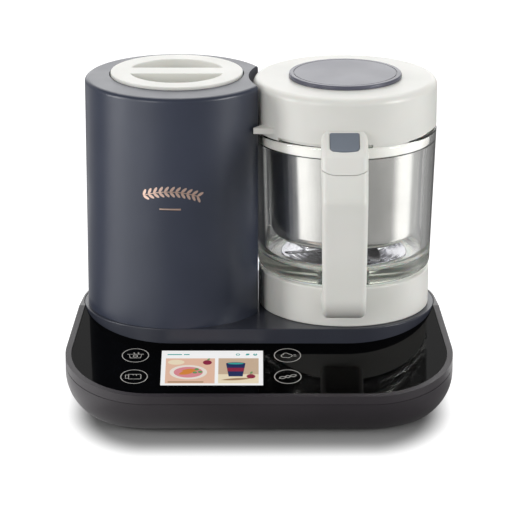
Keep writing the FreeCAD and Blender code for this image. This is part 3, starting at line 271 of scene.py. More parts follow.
# Iron sheets show their edges, zinc plate blooms in patches, and heat browns a nickel sheath.
iron_sheets = metal("iron_laminations", "#5E6064", "#74767A", (0.4, 0.55), 0.7, 0.03,
                    SHEET_LINES)
zinc_can = metal("steel_zinc_plated", "#8F949B", "#A4A9B0", (0.25, 0.4), 9.0, 0.004)
heater_sheath = metal("nickel_alloy_sheath", "#6D6A66", "#84817C", (0.3, 0.45), 1.5, 0.01)
# Sintered bronze is matt and porous; hot foil gleams and takes on the plastic's fine grain.
bronze = metal("sintered_bronze", "#8A6236", "#A87B48", (0.4, 0.55), 0.5, 0.02)
rose_gold = metal("rose_gold_foil", "#D9B5A2", "#E8CABB", (0.25, 0.35), 0.9, 0.002)
print("materials with the metals:", len(bpy.data.materials))

# %% [markdown]
# ## Rubber, silicone, foam and circuit board
# Silicone is cloudy and lets light in a little; rubber feet are matt black with a fine chalky
# bloom; foam pads under the touch rings are coarse; the boards are green solder mask over glass
# weave.  Its 0.4 mm threads would be lost, so they are drawn as a faint pattern of 3 mm by
# 1.5 mm patches.

# %% Soft and board finishes
silicone = moulded("silicone_translucent", "#DCDDD8", "#E6E7E2", (0.42, 0.52), 2.0, 0.006,
                   Subsurface_Weight=0.3, Subsurface_Scale=0.004)
rubber = moulded("rubber_black", "#131314", "#1B1B1C", (0.62, 0.75), 0.6, 0.02)
foam = moulded("foam_polyurethane", "#202022", "#2A2A2C", (0.8, 0.9), 0.8, 0.12)


def build_board():
    material, tree, shader = start_material("circuit_board_green", "#0F4A2C", 0.35)
    colours = {"Color1": "#0E4529", "Color2": "#125232", "Mortar": "#1B6A42"}
    settings = {"Scale": 1 / (6 * MM), "Mortar Size": 0.03, "offset": 0.37}
    settings.update((socket, linear(colour)) for socket, colour in colours.items())
    weave = add(tree, "ShaderNodeTexBrick", settings, {"Vector": coordinates(tree)})
    tree.links.new(weave.outputs["Color"], shader.inputs["Base Color"])
    grain(tree, shader, 0.8, 0.01)
    return material


board_green = build_board()
print("materials for all CAD pieces:", len(bpy.data.materials))

# %% [markdown]
# ## Finishes on the CAD pieces
# Each carried-over node gets the material of the stuff it is made of.  The list below is the
# bill of materials: every node's name stands under its finish.

# %% Bill of materials
FINISHES = {
    slate_abs: ["tower_shell"],
    plinth_abs: ["plinth"],
    charcoal_abs: ["base_tub", "base_rim", "motor_housing", "jug_switch", "cable_gland"],
    panel_glass: ["control_panel", "display_module"],
    white_pp: ["tank_lid", "jug_base_ring", "handle_grip", "handle_head", "basket_band", "jug_lid",
               "lid_spout"],
    grey_abs: ["lid_cap", "cap_plug"],
    button_abs: ["lid_button"],
    collar_abs: ["tank_collar"],
    clear_san: ["water_tank"],
    jug_glass: ["glass_jug"],
    steel: ["steam_basket"],
    blade_steel: ["blade_wings", "blade_nut"],
    bright_steel: ["motor_shaft", "blade_spindle", "base_screws", "button_spring", "blade_bush"],
    cast_alloy: ["boiler", "boiler_stand"],
    iron_sheets: ["motor_stator", "motor_rotor"],
    zinc_can: ["thermostat", "steam_tube"],
    heater_sheath: ["heating_ring"],
    bronze: ["motor_bushes"],
    drive_pom: ["drive_coupler", "driven_coupler"],
    silicone: ["steam_nozzle", "feed_tube", "tank_seal", "lid_seal", "glass_gasket"],
    rubber: ["rubber_feet"],
    foam: ["touch_sensors"],
    board_green: ["touch_board", "power_board"],
}
for finish, names in FINISHES.items():
    for name in names:
        for place in NODES[name].material_slots:
            place.material = finish
print("dressed", sum(map(len, FINISHES.values())), "of", len(NODES), "nodes")

# Clear walls pass light on in reality, so they throw no shadow on what they hold.
NODES["glass_jug"].visible_shadow = False
NODES["water_tank"].visible_shadow = False

# %% [markdown]
# ## Helpers for Geometry Nodes
# Whatever repeats or follows a path is made by a small node tree with named sizes.  Every tree
# starts with its inputs and ends by making instances real and putting the finish on, because
# an export drops instances.  The evaluated result is kept as a plain mesh.

# %% How every tree starts and ends
def start_tree(name, inputs):
    """A new tree with (name, kind) inputs; returns it and its input sockets."""
    tree = bpy.data.node_groups.new(name, "GeometryNodeTree")
    for label, kind in inputs:
        tree.interface.new_socket(label, in_out="INPUT", socket_type="NodeSocket" + kind)
    tree.interface.new_socket("Geometry", in_out="OUTPUT", socket_type="NodeSocketGeometry")
    return tree, add(tree, "NodeGroupInput").outputs


def end_tree(tree, geometry, finish):
    real = add(tree, "GeometryNodeRealizeInstances", links={"Geometry": geometry})
    dressed = add(tree, "GeometryNodeSetMaterial",
                  links={"Geometry": real.outputs[0], "Material": finish})
    add(tree, "NodeGroupOutput", links={"Geometry": dressed.outputs[0]})
    return tree


# %% From an object through its modifiers to a plain mesh
def plain_mesh(holder):
    """Keep what the modifiers make of an object as a plain mesh, and remove the object."""
    graph = bpy.context.evaluated_depsgraph_get()
    mesh = bpy.data.meshes.new_from_object(holder.evaluated_get(graph), depsgraph=graph)
    bpy.data.objects.remove(holder)
    return mesh


def through_nodes(holder, tree, settings):
    """Evaluate an object through a node tree, whose inputs are set by their identifiers."""
    bpy.context.collection.objects.link(holder)
    modifier = holder.modifiers.new("nodes", "NODES")
    modifier.node_group = tree
    for socket in tree.interface.items_tree:
        if socket.name in settings:
            modifier[socket.identifier] = settings[socket.name]
    return plain_mesh(holder)


def smooth(mesh):
    for polygon in mesh.polygons:
        polygon.use_smooth = True
    return mesh


def settle(mesh, name, body):
    """Make a plain mesh a piece that rides on a body."""
    piece = bpy.data.objects.new(name, mesh)
    bpy.context.collection.objects.link(piece)
    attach(piece, body)
    print(name, "triangles:", sum(len(p.vertices) - 2 for p in mesh.polygons))
    return piece


# %% [markdown]
# ## Printed line drawings on the panel
# Each touch key is a printed ring with a small line picture in it: a pot, a jug lying down, a
# puff of steam and a two-leaf blade.  They are drawn as open and closed runs of points, flat at
# the origin and in millimetres, and one Geometry Nodes tree gives every run the same printed
# width and ink height.  The finished mesh is then laid on the sloping panel.

# %% One tree for printed lines
def build_line_tree():
    tree, given = start_tree("printed_lines", (("Geometry", "Geometry"), ("Line width", "Float"),
                                               ("Ink height", "Float"), ("Ink", "Material")))
    upright = add(tree, "GeometryNodeSetCurveNormal", {"mode": "Z_UP"},
                  {"Curve": given["Geometry"]})
    section = add(tree, "GeometryNodeCurvePrimitiveQuadrilateral",
                  links={"Width": given["Line width"], "Height": given["Ink height"]})
    line = add(tree, "GeometryNodeCurveToMesh", {"Fill Caps": True},
               {"Curve": upright.outputs[0], "Profile Curve": section.outputs[0]})
    return end_tree(tree, line.outputs[0], given["Ink"])


LINE_TREE = build_line_tree()


# %% From runs of points to a printed mesh
def runs_to_curve(name, runs):
    """A curve of straight runs.  Runs are (closed, points), flat points in millimetres."""
    curve = bpy.data.curves.new(name, "CURVE")
    curve.dimensions = "3D"
    for closed, points in runs:
        spline = curve.splines.new("POLY")
        spline.points.add(len(points) - 1)
        for point, (x, y) in zip(spline.points, points):
            point.co = (x * MM, y * MM, 0, 1)
        spline.use_cyclic_u = closed
    return bpy.data.objects.new(name, curve)


def runs_to_mesh(name, runs, width_mm, height_mm, ink):
    settings = {"Line width": width_mm * MM, "Ink height": height_mm * MM, "Ink": ink}
    return through_nodes(runs_to_curve(name, runs), LINE_TREE, settings)


# %% Small drawing helpers, in millimetres
def arc(x, y, radius, start, end, squash=1.0, steps=16):
    turns = [math.radians(start + (end - start) * i / steps) for i in range(steps + 1)]
    return [(x + radius * math.cos(t), y + radius * squash * math.sin(t)) for t in turns]


def ring(x, y, radius, steps=48):
    return True, arc(x, y, radius, 0, 360 - 360 / steps, steps=steps - 1)


def leaf(x, y, length, width, turn, steps=10):
    """A closed leaf whose root is at (x, y) and that points along turn, in degrees."""
    along = [i / steps for i in range(steps + 1)]
    edge = [(length * t, width * math.sin(math.pi * t) ** 0.8 / 2) for t in along]
    outline = edge + [(u, -v) for u, v in reversed(edge[1:-1])]
    c, s = math.cos(math.radians(turn)), math.sin(math.radians(turn))
    return [(x + u * c - v * s, y + u * s + v * c) for u, v in outline]


# %% The four pictures, each round its own centre
POT = [(True, [(-4.6, 1.6), (-3.7, -3.6), (3.7, -3.6), (4.6, 1.6)]),
       (False, [(-6.0, 1.6), (6.0, 1.6)]),
       ring(0, -1.0, 1.5, 20),
       (False, arc(-1.6, 3.1, 0.9, -90, 90, steps=8)),
       (False, arc(1.6, 3.1, 0.9, -90, 90, steps=8))]
LYING_JUG = [(True, [(-3.9, 3.2), (4.2, 3.2), (4.9, 2.3), (4.9, -2.6), (4.2, -3.2), (-3.9, -3.2)]),
             (False, [(-3.9, 2.3), (-6.2, 2.3), (-6.2, -2.3), (-3.9, -2.3)]),
             (False, [(1.6, 3.2), (1.6, 1.4)]),
             (False, [(-0.6, 3.2), (-0.6, 2.0)])]
STEAM_PUFF = [(False, arc(-2.6, -0.9, 2.0, 90, 280) + arc(0.4, -1.6, 1.8, 230, 320, steps=8)),
              (False, arc(-1.2, 1.3, 2.0, 175, 30) + arc(1.5, -0.4, 1.9, 75, -70)),
              (False, [(4.3, 0.9), (6.0, 0.9)]),
              (False, [(4.3, -0.9), (6.4, -0.9)])]
TWO_LEAF_BLADE = [(True, leaf(1.5, 0.4, 5.0, 2.8, 22)),
                  (True, leaf(-1.5, -0.4, 5.0, 2.8, 202)),
                  ring(0, 0, 1.5, 20)]
print("runs per picture:", [len(p) for p in (POT, LYING_JUG, STEAM_PUFF, TWO_LEAF_BLADE)])

# %% [markdown]
# ## Where the panel is
# The display's own box gives the panel's slope plane: its top face is the lit window, and the
# panel's glass stands a little above it.  Everything printed is laid out from that centre.

# %% The panel's plane, from the display's box
SLOPE = math.radians(10.8)
low, high = corners("display_module")
SCREEN_LONG, SCREEN_WIDE = high.x - low.x, 49.0 * MM
SCREEN = Vector(((low.x + high.x) / 2, low.y + SCREEN_WIDE / 2 * math.cos(SLOPE),
                 high.z - SCREEN_WIDE / 2 * math.sin(SLOPE)))


def on_slope(x_mm=0.0, y_mm=0.0, lift_mm=0.0):
    """Matrix that lays a flat drawing on the slope, moved in the slope's own plane."""
    turn = Matrix.Rotation(SLOPE, 4, "X")
    shift = Matrix.Translation((x_mm * MM, y_mm * MM, lift_mm * MM))
    return Matrix.Translation(SCREEN) @ turn @ shift


print("screen centre:", tuple(round(v, 4) for v in SCREEN), "long side:", round(SCREEN_LONG, 4))

# %% Print the touch keys
ink_grey, _, _ = start_material("printed_ink_pale", "#B4B2AE", 0.5)
KEY_LEFT, KEY_RIGHT = -55.7, 54.4        # columns and rows of keys, from the screen's middle
KEY_UPPER, KEY_LOWER = 17.3, -12.6
KEY_RADIUS, KEY_STEPS = 9.5, 72
INK_WIDTH, INK_HEIGHT = 0.62, 0.05       # real ink is thinner, drawn to stand clear of the glass
GLASS_OVER_SCREEN = 0.3
KEYS = {"pot": (KEY_LEFT, KEY_UPPER, POT),
        "lying_jug": (KEY_LEFT, KEY_LOWER, LYING_JUG),
        "steam": (KEY_RIGHT, KEY_UPPER, STEAM_PUFF),
        "blade": (KEY_RIGHT, KEY_LOWER, TWO_LEAF_BLADE)}
for key, (x, y, picture) in KEYS.items():
    runs = [ring(0, 0, KEY_RADIUS, KEY_STEPS)] + picture
    mesh = runs_to_mesh("touch_key_" + key, runs, INK_WIDTH, INK_HEIGHT, ink_grey)
    mesh.transform(on_slope(x, y, GLASS_OVER_SCREEN + INK_HEIGHT / 2))
    settle(mesh, "touch_key_" + key, "base_unit")

# %% [markdown]
# ## The lit screen
# A small display shows a white page with two picture tiles and a few little marks.  The tiles
# hold plain food shapes: each is a flat outline with its own glowing colour, stacked in steps
# too low to see, so the whole page is one thin mesh.

# %% Glowing colours
def glowing(name, colour, strength=0.85):
    material, _, _ = start_material(name, "#050505", 0.25, Emission_Color=linear(colour),
                                    Emission_Strength=strength)
    return material


GLOW = {"page": "#FFFFFF", "peach": "#E9C0A8", "cream": "#F1E2C4", "pink": "#DE8D96",
        "carrot": "#D9893F", "leaf": "#6F9A62", "tan": "#CDB399", "navy": "#27325E",
        "berry": "#8E2A45", "teal": "#3FA7A0", "plate": "#EFE6DC", "wood": "#A98868"}
GLOW_ORDER = list(GLOW)
GLOW_MATERIALS = [glowing("lit_display_" + name, colour) for name, colour in GLOW.items()]
print("glowing colours:", len(GLOW_MATERIALS))


# %% Flat outlines, in millimetres from the screen's centre
def box_outline(x0, y0, x1, y1):
    return [(x0, y0), (x1, y0), (x1, y1), (x0, y1)]


def oval(x, y, width, height, steps=28):
    return arc(x, y, width / 2, 0, 360 - 360 / steps, height / width, steps)


LEFT_TILE = [("peach", box_outline(-33.5, -21.5, 2.0, 13.5)), ("cream", oval(-26, 8, 12, 7)),
             ("plate", oval(-17, -6, 27, 20)), ("pink", oval(-17, -6, 21, 15)),
             ("carrot", leaf(-24, -9, 13, 5.5, 25)), ("carrot", leaf(-22, -4, 12, 4.5, 5)),
             ("leaf", oval(-11, -2, 3.4, 3.2)), ("leaf", oval(-8.5, -5.6, 3.4, 3.2)),
             ("leaf", oval(-12.2, -6.4, 3.2, 3.0)),
             ("wood", box_outline(-31.5, -20.5, -6.0, -18.8)),
             ("berry", oval(-3.5, 7.5, 6.5, 6.5)), ("leaf", leaf(-3.5, 10.4, 3.6, 1.6, 60))]
RIGHT_TILE = [("tan", box_outline(4.5, -21.5, 33.5, 13.5)),
              ("cream", box_outline(4.5, -21.5, 33.5, -9.0)),
              ("navy", [(10, 6), (24, 6), (22, -12), (12, -12)]),
              ("berry", [(10.7, 0), (23.3, 0), (22.7, -5), (11.3, -5)]),
              ("navy", oval(17, 6, 14, 3.6)), ("teal", oval(17, 6, 11.5, 2.4)),
              ("berry", oval(28, -12, 6.4, 6.0)), ("wood", leaf(6.5, -17, 22, 3.0, 6)),
              ("leaf", leaf(27.6, -8.8, 4.0, 1.8, 70))]
MARKS = [("teal", oval(18.5, 18.6, 3.0, 3.0)), ("page", oval(18.5, 18.6, 1.7, 1.7)),
         ("teal", leaf(24.2, 17.6, 3.4, 2.4, 40)), ("teal", oval(31.0, 18.6, 3.0, 3.0)),
         ("page", box_outline(30.6, 18.6, 31.4, 20.6)),
         ("teal", box_outline(-32.5, 17.9, -22.0, 19.2)),
         ("teal", box_outline(-20.6, 17.9, -16.5, 19.2))]
print("flat shapes:", len(LEFT_TILE) + len(RIGHT_TILE) + len(MARKS))

# %% Stack them into one mesh
FIRST_LAYER, LAYER_STEP = 0.02, 0.008    # millimetres above the display's window


def build_screen():
    half_long, half_wide = SCREEN_LONG / MM / 2, SCREEN_WIDE / MM / 2
    page = ("page", box_outline(-half_long, -half_wide, half_long, half_wide))
    form = bmesh.new()
    for level, (colour, outline) in enumerate([page] + LEFT_TILE + RIGHT_TILE + MARKS):
        height = FIRST_LAYER + LAYER_STEP * level
        face = form.faces.new([form.verts.new((x, y, height)) for x, y in outline])
        face.normal_update()
        if face.normal.z < 0:
            face.normal_flip()
        face.material_index = GLOW_ORDER.index(colour)
    form.transform(on_slope() @ Matrix.Scale(MM, 4))
    mesh = bpy.data.meshes.new("screen_picture")
    form.to_mesh(mesh)
    form.free()
    for material in GLOW_MATERIALS:
        mesh.materials.append(material)
    return mesh


screen_picture = settle(build_screen(), "screen_picture", "base_unit")

# %% [markdown]
# ## Rose-gold mark on the tower
# The tower's front carries a short hot-foil line under a small emblem.  Foil is a film of metal
# far thinner than paper, pressed on the plastic, so it follows the round wall exactly; here it
# is drawn thicker, to stand clear of the wall.  A sprig of leaves stands over the line: one
# Geometry Nodes tree sets leaves along a stem, and the flat result is wrapped round the tower.

# %% Leaves along a stem
FOIL = 0.04                              # thickness, in millimetres
LEAN = 0.85                              # radians between a leaf and the stem


def build_sprig_tree():
    tree, given = start_tree("sprig", (("Geometry", "Geometry"), ("Leaf count", "Int"),
                                       ("Leaf length", "Float"), ("Leaf width", "Float"),
                                       ("Stem width", "Float"), ("Foil", "Material")))
    points = add(tree, "GeometryNodeCurveToPoints", {"mode": "COUNT"},
                 {"Curve": given["Geometry"], "Count": given["Leaf count"]})
    disc = add(tree, "GeometryNodeMeshCircle",
               {"fill_type": "NGON", "Vertices": 20, "Radius": 0.5})
    size = add(tree, "ShaderNodeCombineXYZ", {"Z": 1.0},
               {"X": given["Leaf length"], "Y": given["Leaf width"]})
    # Half a length along, so that the leaf's root is on the stem.
    root = add(tree, "ShaderNodeVectorMath", {"operation": "MULTIPLY", 1: (0.5, 0.0, 0.0)},
               {0: size.outputs[0]})
    blade = add(tree, "GeometryNodeTransform",
                links={"Geometry": disc.outputs[0], "Scale": size.outputs[0],
                       "Translation": root.outputs[0]})
    stem_turn = add(tree, "FunctionNodeAlignRotationToVector", {"axis": "X"},
                    {"Vector": points.outputs["Tangent"]})
    joined = add(tree, "GeometryNodeJoinGeometry")
    for lean in (LEAN, -LEAN):
        turned = add(tree, "FunctionNodeRotateRotation",
                     {"rotation_space": "LOCAL", "Rotate By": (0, 0, lean)},
                     {"Rotation": stem_turn.outputs[0]})
        leaves = add(tree, "GeometryNodeInstanceOnPoints",
                     links={"Points": points.outputs[0], "Instance": blade.outputs[0],
                            "Rotation": turned.outputs[0]})
        tree.links.new(leaves.outputs[0], joined.inputs[0])
    section = add(tree, "GeometryNodeCurvePrimitiveQuadrilateral",
                  {"Height": FOIL * MM}, {"Width": given["Stem width"]})
    upright = add(tree, "GeometryNodeSetCurveNormal", {"mode": "Z_UP"},
                  {"Curve": given["Geometry"]})
    stem = add(tree, "GeometryNodeCurveToMesh", {"Fill Caps": True},
               {"Curve": upright.outputs[0], "Profile Curve": section.outputs[0]})
    tree.links.new(stem.outputs[0], joined.inputs[0])
    return end_tree(tree, joined.outputs[0], given["Foil"])


# %% Wrap flat work round the tower
low, high = corners("tower_shell")
TOWER_RADIUS = (high.y - low.y) / 2
TOWER_AXIS = Vector((low.x + TOWER_RADIUS, low.y + TOWER_RADIUS, 0))
FOIL_LIFT = 0.05 * MM
MARK_X, MARK_Z = TOWER_AXIS.x - 3.6 * MM, low.z + 90.8 * MM      # the middle of the short line
print("tower radius:", round(TOWER_RADIUS, 4), "axis:", tuple(round(v, 4) for v in TOWER_AXIS))


def wrap_on_tower(mesh, middle_x, middle_z):
    for vertex in mesh.vertices:
        angle = (vertex.co.x + middle_x - TOWER_AXIS.x) / TOWER_RADIUS
        reach = TOWER_RADIUS + FOIL_LIFT + vertex.co.z
        height = vertex.co.y + middle_z
        vertex.co = (TOWER_AXIS.x + reach * math.sin(angle),
                     TOWER_AXIS.y - reach * math.cos(angle), height)


# %% The sprig and the line under it
SPRIG_RISE = 11.5                        # millimetres from the line up to the sprig
LINE_LENGTH, LINE_WIDTH, LINE_STEPS = 15.6, 1.4, 24


def build_foil_mark():
    stem = [(t * 0.9, 1.6 - 0.0075 * t * t) for t in range(-22, 23)]     # a low arch
    sizes = {"Leaf count": 11, "Leaf length": 5.2 * MM, "Leaf width": 2.0 * MM,
             "Stem width": 0.7 * MM, "Foil": rose_gold}
    sprig = through_nodes(runs_to_curve("sprig", [(False, stem)]), build_sprig_tree(), sizes)
    wrap_on_tower(sprig, MARK_X, MARK_Z + SPRIG_RISE * MM)
    settle(sprig, "foil_sprig", "base_unit")
    run = [(-LINE_LENGTH / 2 + LINE_LENGTH * i / LINE_STEPS, 0) for i in range(LINE_STEPS + 1)]
    line = runs_to_mesh("foil_line", [(False, run)], LINE_WIDTH, FOIL, rose_gold)
    wrap_on_tower(line, MARK_X, MARK_Z)
    settle(line, "foil_line", "base_unit")


build_foil_mark()

# %% [markdown]
# ## Low blade wings
# Under the two broad wings sit four narrow ones that sweep low over the glass floor.  Each is a
# leaf pressed from 1.2 mm sheet, twisted so that it lifts the food and dipped so that it clears
# the hub's dome.  One leaf is drawn as a small grid; four copies follow the rule of a ring, so a
# node tree sets them round the axis.

# %% A ring of copies
def build_ring_tree():
    tree, given = start_tree("ring_of_copies", (("Geometry", "Geometry"), ("Count", "Int"),
                                                ("Middle", "Vector"), ("First turn", "Float"),
                                                ("Finish", "Material")))
    places = add(tree, "GeometryNodePoints",
                 links={"Count": given["Count"], "Position": given["Middle"]})
    step = add(tree, "ShaderNodeMath", {"operation": "DIVIDE", 0: 2 * math.pi},
               {1: given["Count"]})
    index = add(tree, "GeometryNodeInputIndex")
    turn = add(tree, "ShaderNodeMath", {"operation": "MULTIPLY_ADD"},
               {0: index.outputs[0], 1: step.outputs[0], 2: given["First turn"]})
    facing = add(tree, "ShaderNodeCombineXYZ", links={"Z": turn.outputs[0]})
    copies = add(tree, "GeometryNodeInstanceOnPoints",
                 links={"Points": places.outputs[0], "Instance": given["Geometry"],
                        "Rotation": facing.outputs[0]})
    return end_tree(tree, copies.outputs[0], given["Finish"])


RING_TREE = build_ring_tree()

# %% One leaf: distance from the axis, height, half width and twist, in millimetres and degrees
LEAF = ((8.5, 4.3, 5.0, 5), (14.0, 3.9, 7.0, 9), (19.0, 3.0, 8.5, 12), (25.0, 2.1, 9.5, 13),
        (32.0, 1.7, 9.0, 13), (39.0, 1.7, 7.0, 12), (44.0, 2.0, 4.5, 10), (46.5, 2.3, 1.5, 8))
ACROSS = (-1.0, -0.5, 0.0, 0.5, 1.0)     # columns of the grid, in half widths
TRAIL = 0.006                            # times distance squared: how far behind the turn it trails
DISH = 1.2                               # how far both long edges turn up
LEAF_SHEET, LEAF_EDGE = 1.2, 0.35        # thickness and ground edge


def leaf_mesh(name):
    mesh = bpy.data.meshes.new(name)
    points, faces = [], []
    for out, height, half, twist in LEAF:
        lean = math.radians(twist)
        for side in ACROSS:
            points.append((out * MM, (side * half * math.cos(lean) - TRAIL * out * out) * MM,
                           (height + side * half * math.sin(lean) + DISH * side * side) * MM))
    row = len(ACROSS)
    for i in range(len(LEAF) - 1):
        for j in range(row - 1):
            first = i * row + j
            faces.append((first, first + row, first + row + 1, first + 1))
    mesh.from_pydata(points, [], faces)
    return mesh


def thicken(mesh, name, sheet_mm, round_mm):
    """Give a flat sheet its wall, ground edges and a smooth surface."""
    holder = bpy.data.objects.new(name, mesh)
    bpy.context.collection.objects.link(holder)
    wall = holder.modifiers.new("wall", "SOLIDIFY")
    wall.thickness, wall.offset = sheet_mm * MM, 0.0
    edge = holder.modifiers.new("edge", "BEVEL")
    edge.width, edge.segments, edge.limit_method = round_mm * MM, 1, "ANGLE"
    skin = holder.modifiers.new("skin", "SUBSURF")
    skin.levels = skin.render_levels = 2
    return smooth(plain_mesh(holder))


# %% Spun steel: the grinding wheel leaves rings round the axis
RING_PITCH = 1.6                         # millimetres; real rings are finer and wouldn't show


def build_spun_steel():
    material, tree, shader = start_material("stainless_steel_spun", "#A6A6AC", 0.2, Metallic=1.0)
    mottle(tree, shader, 45, "#A6A6AE", "#B6B6BC")
    wear(tree, shader, 20, 0.16, 0.24)
    centre = axis_point("blade_wings")
    where = add(tree, "ShaderNodeTexCoord").outputs["Object"]
    centred = add(tree, "ShaderNodeMapping", {"Location": (-centre.x, -centre.y, 0)},
                  {"Vector": where})
    # A wave texture makes 20 / (2 pi) rings per unit of length at a scale of 1.
    rings = add(tree, "ShaderNodeTexWave",
                {"wave_type": "RINGS", "rings_direction": "Z", "Distortion": 0.4,
                 "Scale": 2 * math.pi / (20 * RING_PITCH * MM)}, {"Vector": centred.outputs[0]})
    relief = add(tree, "ShaderNodeBump", {"Strength": 1.0, "Distance": 0.03 * MM},
                 {"Height": rings.outputs["Fac"]})
    tree.links.new(relief.outputs[0], shader.inputs["Normal"])
    return material


spun_steel = build_spun_steel()


# %% Four leaves on the hub
def build_low_wings():
    middle = axis_point("blade_wings", corners("blade_wings")[0].z)
    sheet = thicken(leaf_mesh("leaf"), "leaf", LEAF_SHEET, LEAF_EDGE)
    settings = {"Count": 4, "Middle": middle, "First turn": math.radians(45),
                "Finish": spun_steel}
    mesh = through_nodes(bpy.data.objects.new("blade_low_wings", sheet), RING_TREE, settings)
    settle(mesh, "blade_low_wings", "blades")


build_low_wings()

# %% [markdown]
# ## Steel plate on the jug's floor
# Under the blades the glass floor carries a thin spun plate that sheds the puree.  Spinning
# presses a blank against a turning form, and its roller leaves shallow waves, 4.5 mm from crest
# to crest here; they catch the window behind as bright arcs.  A body of revolution is one
# profile carried round an axis, so its mesh is written out row by row.

# %% Turn a closed profile round an upright axis
def turned_mesh(name, profile, middle, steps=96):
    """Profile is (radius, height) in metres, listed so that the faces point outwards."""
    points, faces = [], []
    for k in range(steps):
        angle = 2 * math.pi * k / steps
        c, s = math.cos(angle), math.sin(angle)
        points += [(middle.x + r * c, middle.y + r * s, z) for r, z in profile]
    row = len(profile)
    for k in range(steps):
        here, there = k * row, (k + 1) % steps * row
        for i in range(row):
            j = (i + 1) % row
            faces.append((here + i, there + i, there + j, here + j))
    mesh = bpy.data.meshes.new(name)
    mesh.from_pydata(points, [], faces)
    return smooth(mesh)


# %% The plate
PLATE_LIFT = 9.05 * MM                   # from the foot of the glass up to just over its floor
PLATE_RADIUS, PLATE_THICK, PLATE_PLAY = 46.5 * MM, 0.95 * MM, 0.4 * MM
WAVE_PITCH, WAVE_SWELL, WAVE_POINTS = 4.5 * MM, 0.22 * MM, 56


def build_floor_plate():
    low, high = corners("blade_bush")
    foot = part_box("glass_jug")[0][2] + PLATE_LIFT
    inner = (high.x - low.x) / 2 + PLATE_PLAY
    radii = [inner + (PLATE_RADIUS - inner) * i / WAVE_POINTS for i in range(WAVE_POINTS + 1)]
    top = [(r, foot + PLATE_THICK + WAVE_SWELL * math.sin(2 * math.pi * (r - inner) / WAVE_PITCH))
           for r in radii]
    profile = [(inner, foot), (PLATE_RADIUS, foot)] + top[::-1]
    mesh = turned_mesh("jug_floor_plate", profile, axis_point("blade_bush"))
    mesh.materials.append(spun_steel)
    settle(mesh, "jug_floor_plate", "jug")


build_floor_plate()

# %% [markdown]
# ## The spring under the lid button
# The button travels 2.5 mm into the handle and a coil spring brings it back.  A spring can't ride
# on one body alone: its foot stays and its head goes down.  This one is wound as a piece of its
# own that stands for the frame's solid, and it rides on the jug at full length.

# %% Wind it
def build_coil_tree():
    tree, given = start_tree("wound_wire", (("Turns", "Float"), ("Coil radius", "Float"),
                                            ("Wire radius", "Float"), ("Length", "Float"),
                                            ("Foot", "Vector"), ("Finish", "Material")))
    axis = add(tree, "GeometryNodeCurveSpiral", {"Resolution": 24},
               {"Rotations": given["Turns"], "Start Radius": given["Coil radius"],
                "End Radius": given["Coil radius"], "Height": given["Length"]})
    wire = add(tree, "GeometryNodeCurvePrimitiveCircle", {"Resolution": 8},
               {"Radius": given["Wire radius"]})
    wound = add(tree, "GeometryNodeCurveToMesh", {"Fill Caps": True},
                {"Curve": axis.outputs[0], "Profile Curve": wire.outputs[0]})
    placed = add(tree, "GeometryNodeTransform",
                 links={"Geometry": wound.outputs[0], "Translation": given["Foot"]})
    return end_tree(tree, placed.outputs[0], given["Finish"])


# %% Put it under the button
WIRE_RADIUS, BUTTON_TRAVEL, COIL_PITCH = 0.4 * MM, 2.5 * MM, 2.0 * MM


def build_spring():
    low, high = corners("button_spring")
    x, y, length = (low.x + high.x) / 2, (low.y + high.y) / 2, high.z - low.z
    wound = length - 2 * WIRE_RADIUS
    settings = {"Turns": wound / COIL_PITCH, "Coil radius": (high.x - low.x) / 2 - WIRE_RADIUS,
                "Wire radius": WIRE_RADIUS, "Length": wound,
                "Foot": (x, y, low.z + WIRE_RADIUS), "Finish": bright_steel}
    holder = bpy.data.objects.new("spring", bpy.data.meshes.new("spring"))
    mesh = smooth(through_nodes(holder, build_coil_tree(), settings))
    spring = settle(mesh, "lid_button_spring", "jug")
    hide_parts("button_spring")
    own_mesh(spring)


build_spring()

# %% [markdown]
# ## Floor, light and camera
# The machine stands on a white sweep.  A large softbox behind and above throws its shadow
# forward, and three low ones, one on the left and one on each side in front, light the upright
# faces but hardly the floor.  To the camera the floor is grey and glows white only away from the
# machine, so the dark patch under and in front of it is partly real shadow and partly painted
# shadow.  Other rays see a painted pattern: bright and dark stretches set round the jug's axis,
# darker near the machine.  In mirrors and glass these are painted reflections, which draw the
# upright bands in the steel and the dark lines in the glass.

# %% A dial of brightness, in degrees seen from above: 0 in front, 90 on the right
def azimuth_ramp(tree, vector, centre, stops):
    """Colour ramp read by the direction from a centre, seen from above."""
    moved = add(tree, "ShaderNodeVectorMath", {"operation": "SUBTRACT", 1: centre}, {0: vector})
    parts = add(tree, "ShaderNodeSeparateXYZ", links={"Vector": moved.outputs[0]})
    front = add(tree, "ShaderNodeMath", {"operation": "MULTIPLY", 1: -1.0},
                {0: parts.outputs["Y"]})
    angle = add(tree, "ShaderNodeMath", {"operation": "ARCTAN2"},
                {0: parts.outputs["X"], 1: front.outputs[0]})
    dial = add(tree, "ShaderNodeMapRange", {"From Min": -math.pi, "From Max": math.pi},
               {"Value": angle.outputs[0]})
    ramp = add(tree, "ShaderNodeValToRGB", links={"Fac": dial.outputs[0]})
    while len(ramp.color_ramp.elements) < len(stops):
        ramp.color_ramp.elements.new(0.5)
    for element, (degrees, level) in zip(ramp.color_ramp.elements, stops):
        element.position = (degrees + 180) / 360
        element.color = (level, level, level, 1)
    return ramp.outputs[0]


